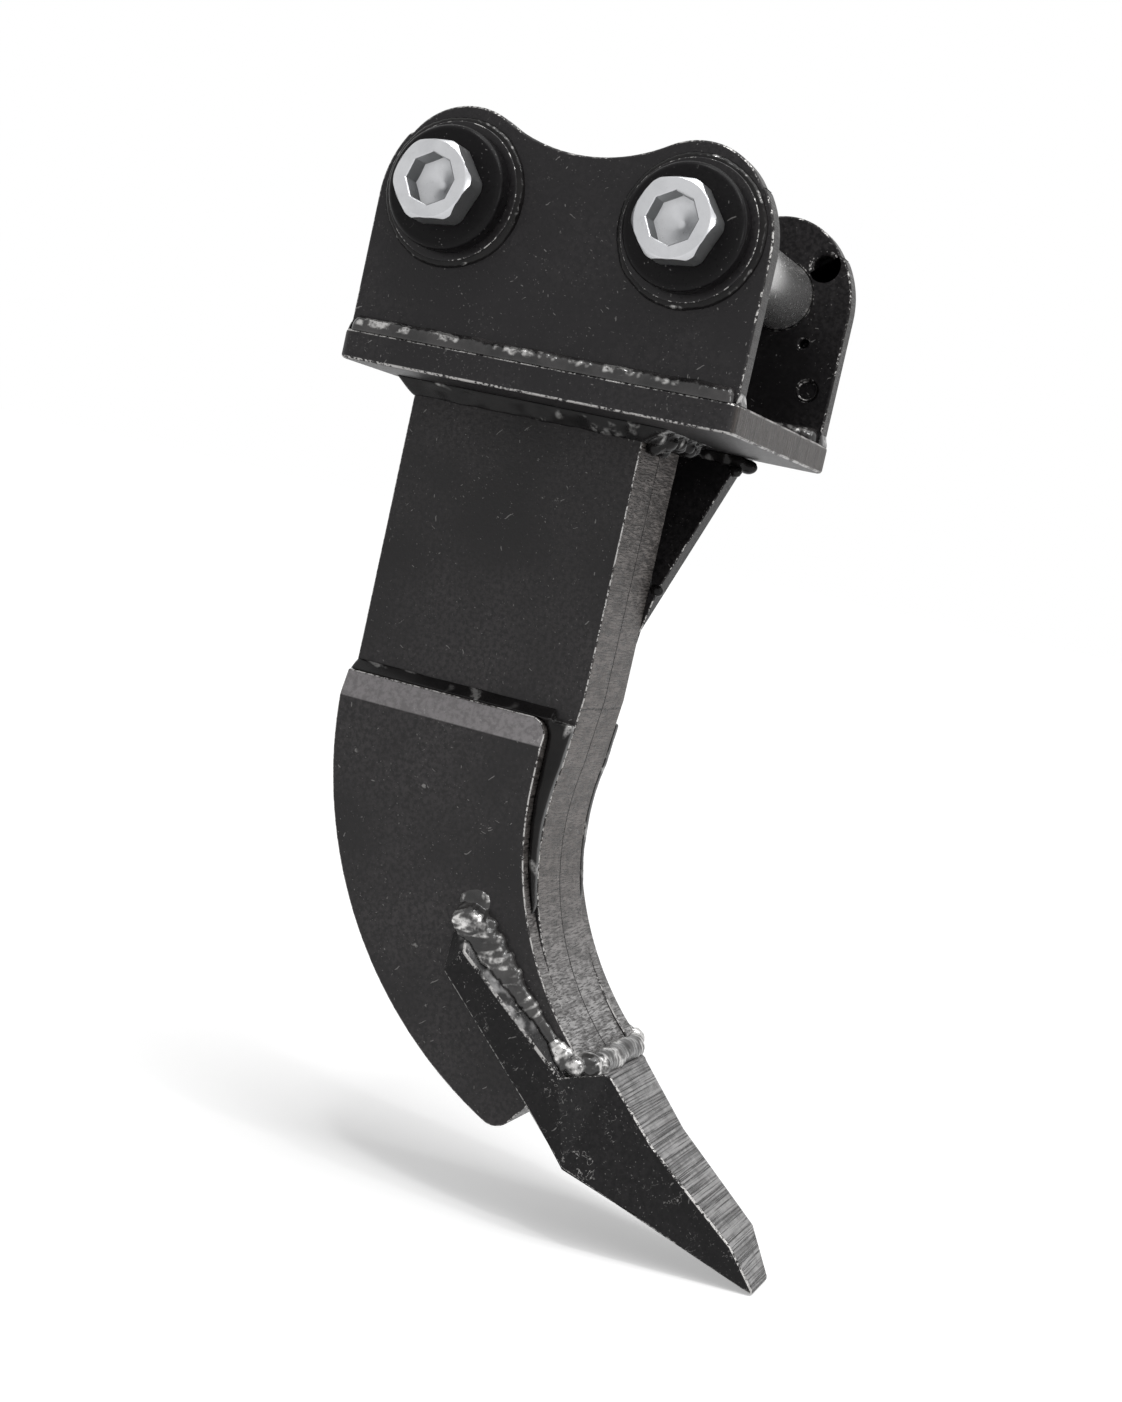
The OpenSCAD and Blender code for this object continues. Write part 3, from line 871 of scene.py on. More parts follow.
@dataclass(frozen=True)
class WeldSkin:
    """Glossy painted weld metal, bright on its crests: rubbed there, and lightened also as painted highlights.
    """

    name: str
    colour: Colour = (0.0065, 0.0061, 0.0063)
    scale_colour: Colour = (0.0200, 0.0185, 0.0180)
    bare: Colour = (0.62, 0.61, 0.60)
    roughness: float = 0.22
    roughness_spread: float = 0.10
    gloss: float = 0.5
    crest_from: float = 0.70
    crest_run: float = 0.25
    crest_highlight_share: float = 0.55
    patch_scale: float = 190.0
    patch_detail: float = 3.0
    patch_rough: float = 0.6
    patched: Span = Span(0.42, 0.60)
    spots: Noise = Noise(700.0, 2.0, 0.6)
    spotted: Span = Span(0.26, 0.46)
    cloud_scale: float = 70.0
    grain_scale: float = 900.0
    bump: float = 0.5
    grain_depth: float = 0.03 * MM

    def build(self, effects: Effects) -> bpy.types.Material:
        """Builds the material.

        Args:
            effects: The shared effects.

        Returns:
            The material.
        """
        material, w, shader = new_material(self.name)
        place = w.place()
        mottle = effects.mottle.put(w, **{"Cloud scale": self.cloud_scale, "Grain scale": self.grain_scale})
        crest = w.span(w.edge_mark(), self.crest_from, self.crest_from + self.crest_run)
        patch = w.span(w.clouds(place, self.patch_scale, self.patch_detail, self.patch_rough), *self.patched)
        spots = w.span(w.clouds(place, *self.spots), *self.spotted)
        # Bright crests: rubbed steel, also standing in for painted highlights.
        bright = w.times(crest, patch, spots, self.crest_highlight_share)
        dark = w.blend(mottle["Cloud"], self.colour, self.scale_colour)
        rough = (self.roughness - self.roughness_spread, self.roughness + self.roughness_spread)
        w.join(w.blend(bright, dark, self.bare), shader.inputs["Base Color"])
        w.join(w.mix(mottle["Grain"], *rough), shader.inputs["Roughness"])
        w.join(bright, shader.inputs["Metallic"])
        shader.inputs["Specular IOR Level"].default_value = self.gloss
        add_bump(w, shader, mottle["Grain"], self.bump, self.grain_depth)
        return material


@dataclass(frozen=True)
class BrightMetal:
    """Bare or plated metal with turning marks round an axis along Y, with painted shade where it is hollow and
    on faces turned away from Y.
    """

    name: str
    colour: Colour = (0.58, 0.585, 0.60)
    shade: Colour = (0.44, 0.445, 0.46)
    shade_share: float = 0.5
    # Painted shade on the faces that turn away from Y, such as the hexagon's flats and the chamfer.
    side: Colour = (0.36, 0.365, 0.37)
    turned_away_shade: Span = Span(0.85, 0.30)
    # Painted shade where the surface is hollow, found by ambient occlusion.
    hollow_shade: Colour = (0.22, 0.225, 0.225)
    hollow_shade_open: Span = Span(0.85, 0.25)
    hollow_shade_reach: float = 7 * MM
    hollow_shade_samples: int = 8
    soil: Colour = (0.10, 0.095, 0.09)
    soil_clouds: Noise = Noise(160.0, 4.0, 0.7)
    soiled: Span = Span(0.55, 0.75)
    dirt: float = 0.12
    metal: float = 0.85
    roughness: float = 0.30
    grain: float = 0.16
    cloud_scale: float = 90.0
    grain_scale: float = 1500.0
    scratch_density: float = 0.2
    scratch_roughness: float = 0.2
    scratch_depth_share: float = 0.6
    ring_scale: float = 2600.0
    ring_stretch: float = 0.05
    ring_depth_share: float = 0.5
    bump: float = 0.5
    relief: float = 0.03 * MM

    def build(self, effects: Effects) -> bpy.types.Material:
        """Builds the material.

        Args:
            effects: The shared effects.

        Returns:
            The material.
        """
        material, w, shader = new_material(self.name)
        place = w.place()
        mottle = effects.mottle.put(w, **{"Cloud scale": self.cloud_scale, "Grain scale": self.grain_scale})
        scratches = effects.scratches.put(w, Density=self.scratch_density)["Mask"]
        metal_and_shade = w.blend(w.times(mottle["Cloud"], self.shade_share), self.colour, self.shade)
        # Painted shade: darker colour where the surface turns away from Y.
        metal_and_shade = w.blend(w.span(w.unsigned(w.facing(SIDEWAYS)), *self.turned_away_shade), metal_and_shade, self.side)
        # Painted shade: darker where ambient occlusion finds the surface hollow, as in the screws' recesses.
        shade_openness = w.add("AmbientOcclusion", samples=self.hollow_shade_samples)
        shade_openness.inputs["Distance"].default_value = self.hollow_shade_reach
        metal_and_shade = w.blend(w.span(shade_openness.outputs["AO"], *self.hollow_shade_open), metal_and_shade, self.hollow_shade)
        soil = w.times(w.span(w.clouds(place, *self.soil_clouds), *self.soiled), self.dirt)
        w.join(w.blend(soil, metal_and_shade, self.soil), shader.inputs["Base Color"])
        rough = w.plus(w.times(mottle["Grain"], self.grain), self.roughness - self.grain / 2)
        w.join(w.plus(rough, w.times(scratches, self.scratch_roughness)), shader.inputs["Roughness"])
        shader.inputs["Metallic"].default_value = self.metal
        rings = w.clouds(w.stretched(place, (0.0, 0.0, 0.0), (1.0, self.ring_stretch, 1.0)), self.ring_scale)
        height = w.plus(w.times(rings, self.ring_depth_share), w.times(scratches, -self.scratch_depth_share))
        add_bump(w, shader, w.plus(height, mottle["Grain"]), self.bump, self.relief)
        return material


@dataclass(frozen=True)
class Palette:
    """Every finish as a material."""

    mount: bpy.types.Material
    shaded_far_mount: bpy.types.Material
    base: bpy.types.Material
    shank: bpy.types.Material
    brace: bpy.types.Material
    boss: bpy.types.Material
    cap: bpy.types.Material
    zinc: bpy.types.Material
    pin: bpy.types.Material
    tooth: bpy.types.Material
    weld: bpy.types.Material
    foot_weld: bpy.types.Material
    bright_weld: bpy.types.Material

    @classmethod
    def build(cls) -> "Palette":
        """Builds the materials.

        Returns:
            The palette.
        """
        edge = replace(ACROSS_Y, colour=(0.060, 0.056, 0.054), dark=(0.014, 0.013, 0.013))
        shaded_inner_edge = replace(edge, hole_shade_spots=cls._shaded_hole_walls())
        plate_end = CutFace(FORWARDS, Span(0.6, 0.85), lines_along=Axis.Z, colour=(0.085, 0.076, 0.071))
        finishes = {
            "mount": WornPaint("Mount paint", cut=edge, cut_share=0.8),
            # Painted shade: a darker, less glossy copy of the mount paint for the far ear's inner face between
            # the ears.
            "shaded_far_mount": WornPaint("Inner paint in painted shade", colour=(0.006, 0.0055, 0.006), gloss=0.12, cut=shaded_inner_edge),
            "base": WornPaint("Base plate paint", cut=plate_end, speck_density=0.8, wear_cover=0.7),
            "shank": cls._shank_paint(),
            # Painted shade: a darker, less glossy copy of the paint for the brace under the base plate.
            "brace": WornPaint("Brace paint in painted shade", colour=(0.008, 0.0075, 0.008), gloss=0.18),
            "boss": WornPaint("Boss paint", roughness=0.30, speck_density=0.3, grain_depth=0.05 * MM),
            "cap": WornPaint(
                "Cap paint",
                colour=(0.006, 0.0055, 0.006),
                dust=(0.010, 0.0095, 0.010),
                roughness=0.30,
                gloss=0.10,
                grain_depth=0.02 * MM,
                speck_density=0.1,
                scratch_density=0.03,
                wear_cover=0.45,
            ),
            "zinc": BrightMetal("Zinc plate"),
            "pin": BrightMetal(
                "Ground pin steel",
                colour=(0.60, 0.595, 0.59),
                shade=(0.48, 0.475, 0.47),
                side=(0.58, 0.575, 0.57),
                hollow_shade=(0.48, 0.475, 0.47),
                roughness=0.20,
                dirt=0.15,
                relief=0.002 * MM,
                grain=0.03,
            ),
            "tooth": cls._tooth_paint(),
            "weld": WeldSkin("Weld skin", gloss=0.16, scale_colour=(0.012, 0.011, 0.011)),
            # Painted highlights: a lighter scale colour and more bright crests than the plain weld skin, along
            # the ears' feet.
            "foot_weld": WeldSkin(
                "Foot weld skin with painted highlights",
                scale_colour=(0.045, 0.042, 0.042),
                roughness=0.18,
                crest_from=0.42,
                crest_highlight_share=0.75,
                patch_scale=210.0,
            ),
            # Painted highlights: lighter scale and bright crests all over the tooth's beads, partly rubbed
            # steel.
            "bright_weld": WeldSkin(
                "Rubbed weld skin with painted highlights",
                colour=(0.008, 0.0075, 0.0075),
                scale_colour=(0.055, 0.053, 0.052),
                roughness=0.18,
                crest_from=0.42,
                crest_highlight_share=1.0,
                patch_scale=125.0,
            ),
        }
        effects = Effects.build()
        return cls(**{name: finish.build(effects) for name, finish in finishes.items()})

    @staticmethod
    def _shaded_hole_walls() -> tuple[tuple[Vector, float], ...]:
        """Gives the places inside the far ear's holes, where the walls keep the dark paint as painted shade
        instead of cut steel, and how far each reaches.

        Returns:
            The places and their reaches, in metres.
        """
        holes = ((17.2, 15.6, 7.4), (15.8, -18.6, 4.5), (22.1, -38.4, 6.0))
        depths = (61.0, 65.0, 69.0)
        return tuple((Vector((x, y, z)) * MM, reach * MM) for x, z, reach in holes for y in depths)

    @staticmethod
    def _shank_paint() -> WornPaint:
        """Gives the finish of the shank and its cheeks, with flame-cut edges rubbed towards the tooth.

        Returns:
            The finish.
        """
        edge = replace(
            ACROSS_Y,
            colour=(0.150, 0.136, 0.129),
            dark=(0.030, 0.027, 0.0255),
            line_scale=1500.0,
            line_stretch=0.12,
            lined=Span(0.33, 0.60),
            rubbed=Span(-250 * MM, -355 * MM),
            rubbed_colour=(0.46, 0.455, 0.455),
            seam=True,
            creases=(-190 * MM,),
        )
        rubs = (
            (-30.0, -33.0, -208.5, 7),
            (-30.0, 33.0, -208.5, 7),
            (-118.0, -33.0, -212.0, 6),
            (-18.0, -25.0, -214.0, 13),
            (-118.0, -30.0, -199.0, 8),
        )
        return WornPaint(
            "Shank paint",
            colour=(0.0145, 0.0135, 0.0140),
            dust=(0.044, 0.0405, 0.0415),
            cut=edge,
            rubs=tuple((Vector(place) * MM, reach * MM) for *place, reach in rubs),
            # Painted highlight on the cheeks' upward bevel, with its crackle.
            band_and_sheen_colour=(0.240, 0.228, 0.232),
            wear_cover=0.68,
        )

    @staticmethod
    def _tooth_paint() -> WornPaint:
        """Gives the finish of the tooth, with its milled upper face and the flaked places on its sides.

        Returns:
            The finish.
        """
        milled = CutFace(
            towards=TOOTH_ACROSS,
            shown=Span(0.79, 0.94),
            either_way=False,
            colour=(0.33, 0.325, 0.325),
            dark=(0.020, 0.019, 0.019),
            line_scale=1250.0,
            line_stretch=0.014,
            lined=Span(0.38, 0.58),
            roughness=0.34,
            metal=0.8,
            rim=0.9,
        )
        rubs = (
            (-63, -7, 44, 6),
            (-4, -9, 41, 10),
            (4, -6, 38, 8),
            (22, 4, 40, 9),
            (30, 0, 40, 10),
            (34, -22, 41, 15),
            (48, -12, 38, 12),
            (-25, -30, 43, 9),
        )
        # Painted highlights on the slope of each leg, round these points.
        slope = ((-66, -1), (-58, -3), (-50, -5), (-42, -7), (-34, -8), (-26, -9))
        slope_y, slope_reach = 39.0, 8 * MM
        sides = (-1, 1)
        return WornPaint(
            "Tooth paint",
            colour=(0.0055, 0.0052, 0.0056),
            dust=(0.0150, 0.0140, 0.0145),
            cut=milled,
            roughness=0.34,
            gloss=0.16,
            rubs=tuple((tooth_place(u, v, k * y), reach * MM) for k in sides for u, v, y, reach in rubs),
            glints=tuple((tooth_place(u, v, k * slope_y), slope_reach) for k in sides for u, v in slope),
            speck_density=0.6,
            scratch_density=0.13,
            flake_density=0.8,
            wear_cover=0.66,
        )


# Pieces


def finish_piece(
    piece: bpy.types.Object, material: bpy.types.Material, nodes: Sequence[str] = ()
) -> bpy.types.Object:
    """Gives a piece its material and body, and hides the solids that it stands for.

    Args:
        piece: The piece, in place.
        material: Its material.
        nodes: The CAD nodes that it replaces.

    Returns:
        The piece.
    """
    piece.data.materials.clear()
    piece.data.materials.append(material)
    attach(piece, "root")
    if nodes:
        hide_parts(*nodes)
    LOG.info("%s: %d faces", piece.name, len(piece.data.polygons))
    return piece


def object_from(name: str, mesh: bmesh.types.BMesh) -> bpy.types.Object:
    """Makes an object from a mesh in the part's frame.

    Args:
        name: The object's name.
        mesh: The mesh, freed here.

    Returns:
        The object.
    """
    data = bpy.data.meshes.new(name)
    mesh.to_mesh(data)
    mesh.free()
    piece = bpy.data.objects.new(name, data)
    bpy.context.scene.collection.objects.link(piece)
    return piece


@dataclass(frozen=True)
class EdgePick:
    """Edges that are rounded alike, picked by the angle of their faces and, if given, by their plane."""

    radius: float
    sharper_than: float = math.radians(24)
    flatter_than: float = math.pi
    worn: bool = True
    point: Vector | None = None
    normal: Vector = Vector(SIDEWAYS)
    tolerance: float = 0.02 * MM

    def hold(self, edge: bmesh.types.BMEdge) -> bool:
        """Tells whether an edge is one of them.

        Args:
            edge: The edge.

        Returns:
            True where it is.
        """
        if not edge.is_manifold or not self.sharper_than < edge.calc_face_angle(0.0) < self.flatter_than:
            return False
        if self.point is None:
            return True
        return all(abs((v.co - self.point).dot(self.normal)) < self.tolerance for v in edge.verts)


class Strip(Enum):
    """What a face is after rounding."""

    PLAIN = 0
    SOFT = 1
    WORN = 2


@dataclass
class Rounded:
    """Makes a piece with the outline of a CAD solid and rounded edges."""

    picks: tuple[EdgePick, ...] = (EdgePick(0.8 * MM),)
    steps: int = 3
    flat_angle: float = math.radians(0.04)
    weld_within: float = 0.01 * MM

    def make(self, node: str, name: str) -> bpy.types.Object:
        """Copies a solid's outline and rounds its edges.

        Args:
            node: The CAD node.
            name: The new piece's name.

        Returns:
            The piece.
        """
        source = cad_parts[node]
        mesh = bmesh.new()
        mesh.from_mesh(source.data)
        mesh.transform(source.matrix_world)
        bmesh.ops.remove_doubles(mesh, verts=mesh.verts, dist=self.weld_within)
        bmesh.ops.dissolve_limit(
            mesh,
            angle_limit=self.flat_angle,
            use_dissolve_boundaries=False,
            verts=mesh.verts,
            edges=mesh.edges,
        )
        mark = mesh.verts.layers.float.new(EDGE_MARK)
        strip = mesh.faces.layers.int.new("strip")
        for pick in self.picks:
            self._bevel(mesh, pick, strip)
        for vertex in mesh.verts:
            if vertex.link_faces and all(face[strip] == Strip.WORN.value for face in vertex.link_faces):
                vertex[mark] = 1.0
        bmesh.ops.triangulate(mesh, faces=[face for face in mesh.faces if len(face.verts) > 4])
        bmesh.ops.recalc_face_normals(mesh, faces=mesh.faces)
        mesh.normal_update()
        normals = [self._corner_normal(loop, strip) for face in mesh.faces for loop in face.loops]
        for face in mesh.faces:
            face.smooth = True
        piece = object_from(name, mesh)
        piece.data.normals_split_custom_set(normals)
        return piece

    def _bevel(self, mesh: bmesh.types.BMesh, pick: EdgePick, strip: bmesh.types.BMLayerItem) -> None:
        """Rounds edges that no earlier pick has rounded, and marks the new faces.

        Args:
            mesh: The mesh.
            pick: The edges.
            strip: The layer that marks faces made by rounding.
        """
        edges = [e for e in mesh.edges if pick.hold(e) and not any(f[strip] for f in e.link_faces)]
        made = bmesh.ops.bevel(
            mesh,
            geom=edges,
            offset=pick.radius,
            offset_type="OFFSET",
            segments=self.steps,
            profile=0.5,
            affect="EDGES",
            clamp_overlap=False,
        )
        kind = Strip.WORN if pick.worn else Strip.SOFT
        for face in made["faces"]:
            face[strip] = kind.value

    @staticmethod
    def _corner_normal(loop: bmesh.types.BMLoop, strip: bmesh.types.BMLayerItem) -> Vector:
        """Gives a face corner's normal, so that flat faces stay flat and roundings run into them.

        Args:
            loop: The face corner.
            strip: The layer that marks faces made by rounding.

        Returns:
            The normal.
        """
        face = loop.face
        around = loop.vert.link_faces
        plain = [f for f in around if not f[strip]]
        if not face[strip]:
            chosen = [f for f in plain if f.normal.dot(face.normal) > 0.965]
        elif plain:
            chosen = [f for f in plain if f.normal.dot(face.normal) > 0.5]
        else:
            chosen = list(around)
        total = Vector((0.0, 0.0, 0.0))
        for f in chosen:
            total += f.normal * (f.calc_area() / MM**2)
        return total.normalized() if total.length > 0.0 else face.normal.copy()


# Welds


@dataclass
class BeadStop:
    """One place along a weld: its corner, the ways its two feet run, and their lengths in metres."""

    corner: Vector
    first: Vector
    second: Vector
    first_leg: float
    second_leg: float


@dataclass
class Bead:
    """A fillet weld with chevron ripples and lumps, laid along a row of stops."""

    stops: list[BeadStop]
    closed: bool = False
    seed: float = 0.0
    step: float = 0.75 * MM
    across: int = 14
    bulge: float = 0.20
    ripple: float = 0.16 * MM
    pitch: float = 3.6 * MM
    lump: float = 0.5 * MM
    lump_run: float = 11.0 * MM
    wander: float = 0.22
    sink: float = 0.25 * MM
    end_run: float = 3.0 * MM
    end_least: float = 0.12

    def _resampled(self) -> list[BeadStop]:
        """Gives stops at even steps along the weld.

        Returns:
            The new stops.
        """
        stops = self.stops + ([self.stops[0]] if self.closed else [])
        result: list[BeadStop] = []
        for a, b in zip(stops, stops[1:]):
            count = max(1, round((b.corner - a.corner).length / self.step))
            for k in range(count):
                t = k / count
                result.append(
                    BeadStop(
                        a.corner.lerp(b.corner, t),
                        a.first.lerp(b.first, t).normalized(),
                        a.second.lerp(b.second, t).normalized(),
                        a.first_leg + t * (b.first_leg - a.first_leg),
                        a.second_leg + t * (b.second_leg - a.second_leg),
                    )
                )
        if not self.closed:
            result.append(stops[-1])
        return result

    def add_to(self, mesh: bmesh.types.BMesh) -> None:
        """Adds the bead to a mesh.

        Args:
            mesh: The mesh.
        """
        stops = self._resampled()
        rings: list[list[bmesh.types.BMVert]] = []
        run = 0.0
        total = sum((b.corner - a.corner).length for a, b in zip(stops, stops[1:]))
        last = stops[0].corner
        for stop in stops:
            run += (stop.corner - last).length
            last = stop.corner
            rings.append(self._ring(mesh, stop, run, total))
        pairs = list(zip(rings, rings[1:] + rings[:1])) if self.closed else list(zip(rings, rings[1:]))
        for a, b in pairs:
            for j in range(len(a)):
                k = (j + 1) % len(a)
                mesh.faces.new((a[j], a[k], b[k], b[j]))
        if not self.closed:
            mesh.faces.new(list(reversed(rings[0])))
            mesh.faces.new(rings[-1])

    def _ring(
        self, mesh: bmesh.types.BMesh, stop: BeadStop, run: float, total: float
    ) -> list[bmesh.types.BMVert]:
        """Adds one cross-section of the bead.

        Args:
            mesh: The mesh.
            stop: The stop that the section stands on.
            run: The distance along the weld, in metres.
            total: The weld's whole length, in metres.

        Returns:
            The section's vertices: the corner and then the surface from the first foot to the second.
        """
        end = 1.0
        if not self.closed:
            near = min(run, total - run)
            end = max(self.end_least, math.sqrt(max(0.0, 1.0 - (1.0 - min(1.0, near / self.end_run)) ** 2)))
        size = 0.5 * (stop.first_leg + stop.second_leg)
        wander = [noise.noise(Vector((run / self.lump_run, self.seed, k * 7.7))) for k in range(3)]
        pairs = zip((stop.first_leg, stop.second_leg), wander)
        legs = [leg * end * (1.0 + self.wander * way) for leg, way in pairs]
        out = (stop.first + stop.second).normalized()
        inner = stop.corner - out * self.sink * 2.0
        foot_a = stop.corner + stop.first * legs[0] - stop.second * self.sink
        foot_b = stop.corner + stop.second * legs[1] - stop.first * self.sink
        mark = mesh.verts.layers.float[EDGE_MARK]
        ring = [mesh.verts.new(inner)]
        for j in range(self.across + 1):
            t = j / self.across
            arch = math.sin(math.pi * t)
            chevron = run / self.pitch + 0.55 * (2.0 * t - 1.0) ** 2 + 0.3 * wander[2]
            wave = math.cos(2.0 * math.pi * chevron)
            lift = self.bulge * size * arch + self.ripple * wave * arch**0.6
            point = foot_a.lerp(foot_b, t)
            seedpoint = point / (self.lump_run * 0.55) + Vector((self.seed, 0.0, 0.0))
            rough = noise.noise(seedpoint)
            lift += self.lump * rough * arch**0.5
            ring.append(mesh.verts.new(point + out * lift * end))
            ring[-1][mark] = arch * (0.62 + 0.10 * wave + 0.75 * rough)
        return ring


def weld_piece(name: str, beads: Iterable[Bead]) -> bpy.types.Object:
    """Makes one piece of several beads.

    Args:
        name: The piece's name.
        beads: The beads.

    Returns:
        The piece.
    """
    mesh = bmesh.new()
    mesh.verts.layers.float.new(EDGE_MARK)
    for bead in beads:
        bead.add_to(mesh)
    bmesh.ops.recalc_face_normals(mesh, faces=mesh.faces)
    for face in mesh.faces:
        face.smooth = True
    return object_from(name, mesh)


@dataclass(frozen=True)
class Lump:
    """A blob of weld metal: its centre and its half sizes, in metres."""

    centre: Vector
    half: tuple[float, float, float]


@dataclass
class GrownWeld:
    """Turns plain CAD weld solids into lumpy, rippled beads."""

    node: str
    runs: list[list[Vector]]
    lumps: list[Lump] = field(default_factory=list)
    seed: float = 0.0
    voxel: float = 0.7 * MM
    soften: int = 8
    swell: float = 0.3 * MM
    ripple: float = 0.16 * MM
    pitch: float = 3.6 * MM
    chevron_width: float = 5.0 * MM
    lump: float = 0.55 * MM
    lump_run: float = 8.0 * MM

    def make(self, name: str) -> bpy.types.Object:
        """Builds the piece.

        Args:
            name: The piece's name.

        Returns:
            The piece.
        """
        piece = self._merged(name)
        mesh = bmesh.new()
        mesh.from_mesh(piece.data)
        mesh.normal_update()
        mark = mesh.verts.layers.float.new(EDGE_MARK)
        moves = [self._move(vertex) for vertex in mesh.verts]
        for vertex, (shift, crest) in zip(mesh.verts, moves):
            vertex.co += shift
            vertex[mark] = crest
        for face in mesh.faces:
            face.smooth = True
        mesh.to_mesh(piece.data)
        mesh.free()
        return piece

    def _merged(self, name: str) -> bpy.types.Object:
        """Joins the solids and the lumps into one even mesh.

        Args:
            name: The piece's name.

        Returns:
            The merged piece.
        """
        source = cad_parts[self.node]
        mesh = bmesh.new()
        mesh.from_mesh(source.data)
        mesh.transform(source.matrix_world)
        bmesh.ops.remove_doubles(mesh, verts=mesh.verts, dist=0.01 * MM)
        for blob in self.lumps:
            matrix = Matrix.Translation(blob.centre) @ Matrix.Diagonal((*blob.half, 1.0))
            bmesh.ops.create_icosphere(mesh, subdivisions=3, radius=1.0, matrix=matrix)
        rough = object_from(name + "_rough", mesh)
        remesh = rough.modifiers.new("Even mesh", "REMESH")
        remesh.mode = "VOXEL"
        remesh.voxel_size = self.voxel
        smooth = rough.modifiers.new("Soft corners", "SMOOTH")
        smooth.iterations = self.soften
        smooth.factor = 0.5
        graph = bpy.context.evaluated_depsgraph_get()
        data = bpy.data.meshes.new_from_object(rough.evaluated_get(graph))
        data.name = name
        piece = bpy.data.objects.new(name, data)
        bpy.context.scene.collection.objects.link(piece)
        old = rough.data
        bpy.data.objects.remove(rough)
        bpy.data.meshes.remove(old)
        return piece

    def _move(self, vertex: bmesh.types.BMVert) -> tuple[Vector, float]:
        """Gives a vertex its ripple.

        Args:
            vertex: The vertex.

        Returns:
            How far it moves, and how much of a crest it is.
        """
        run, off = self._along(vertex.co)
        wander = noise.noise(vertex.co / (3.0 * self.lump_run) + Vector((self.seed, 0.0, 0.0)))
        bend = 0.6 * (off / self.chevron_width) ** 2
        wave = math.cos(2.0 * math.pi * (run / self.pitch + bend + 0.8 * wander))
        rough = noise.noise(vertex.co / self.lump_run + Vector((0.0, self.seed, 0.0)))
        lift = self.swell + self.ripple * wave + self.lump * rough
        return vertex.normal * lift, 0.5 + 0.14 * wave + 0.75 * rough

    def _along(self, point: Vector) -> tuple[float, float]:
        """Finds the place along the nearest run.

        Args:
            point: The point.

        Returns:
            The distance along that run and the distance from it, in metres.
        """
        best = (0.0, math.inf)
        for line in self.runs:
            gone = 0.0
            for a, b in zip(line, line[1:]):
                side = b - a
                share = max(0.0, min(1.0, (point - a).dot(side) / side.length_squared))
                off = (point - a - side * share).length
                if off < best[1]:
                    best = (gone + share * side.length, off)
                gone += side.length
        return best


# Sub-assemblies


@dataclass
class MountBox:
    """The two ears on the base plate, with their welds."""

    palette: Palette
    pin_centres: float = 100 * MM
    overhang: float = 33 * MM
    ear_in: float = 60 * MM
    ear_out: float = 70 * MM
    plate_top: float = -60 * MM
    weld_leg: float = 6 * MM
    outer_foot: float = 3.5 * MM

    def build(self) -> None:
        """Builds the plates and the beads along the ears' feet."""
        rounded = Rounded((EdgePick(1.1 * MM),))
        for node, paint in (("near_ear", self.palette.mount), ("far_ear", self.palette.shaded_far_mount)):
            finish_piece(rounded.make(node, node + "_plate"), paint, [node])
        base = Rounded((EdgePick(1.5 * MM),)).make("base_plate", "base_slab")
        finish_piece(base, self.palette.base, ["base_plate"])
        piece = weld_piece("ear_foot_beads", self._beads())
        finish_piece(piece, self.palette.foot_weld, ["ear_welds"])

    def _beads(self) -> list[Bead]:
        """Gives the four beads along the ears' feet.

        Returns:
            The beads.
        """
        beads = []
        up = Vector(UPWARDS)
        back, front = -self.pin_centres - self.overhang, self.overhang
        for side in (-1, 1):
            for outwards in (-1, 1):
                y = side * (self.ear_out if outwards > 0 else self.ear_in)
                foot = self.outer_foot if outwards > 0 else self.weld_leg
                away = Vector((0, side * outwards, 0))
                corners = (Vector((x, y, self.plate_top)) for x in (back + MM, front - MM))
                ends = [BeadStop(corner, away, up, foot, self.weld_leg) for corner in corners]
                seed = 3.1 * len(beads) + 1.0
                beads.append(Bead(ends, seed=seed, bulge=0.34, ripple=0.10 * MM, wander=0.10))
            for x, way in ((front, 1), (back, -1)):
                away = Vector((way, 0, 0))
                ys = (self.ear_in - MM, self.ear_out + MM)
                corners = (Vector((x, side * y, self.plate_top)) for y in ys)
                ends = [BeadStop(corner, away, up, 1.2 * MM, 5 * MM) for corner in corners]
                seed = 3.1 * len(beads) + 1.0
                beads.append(Bead(ends, seed=seed, bulge=0.05, lump=0.2 * MM, ripple=0.05 * MM))
        return beads


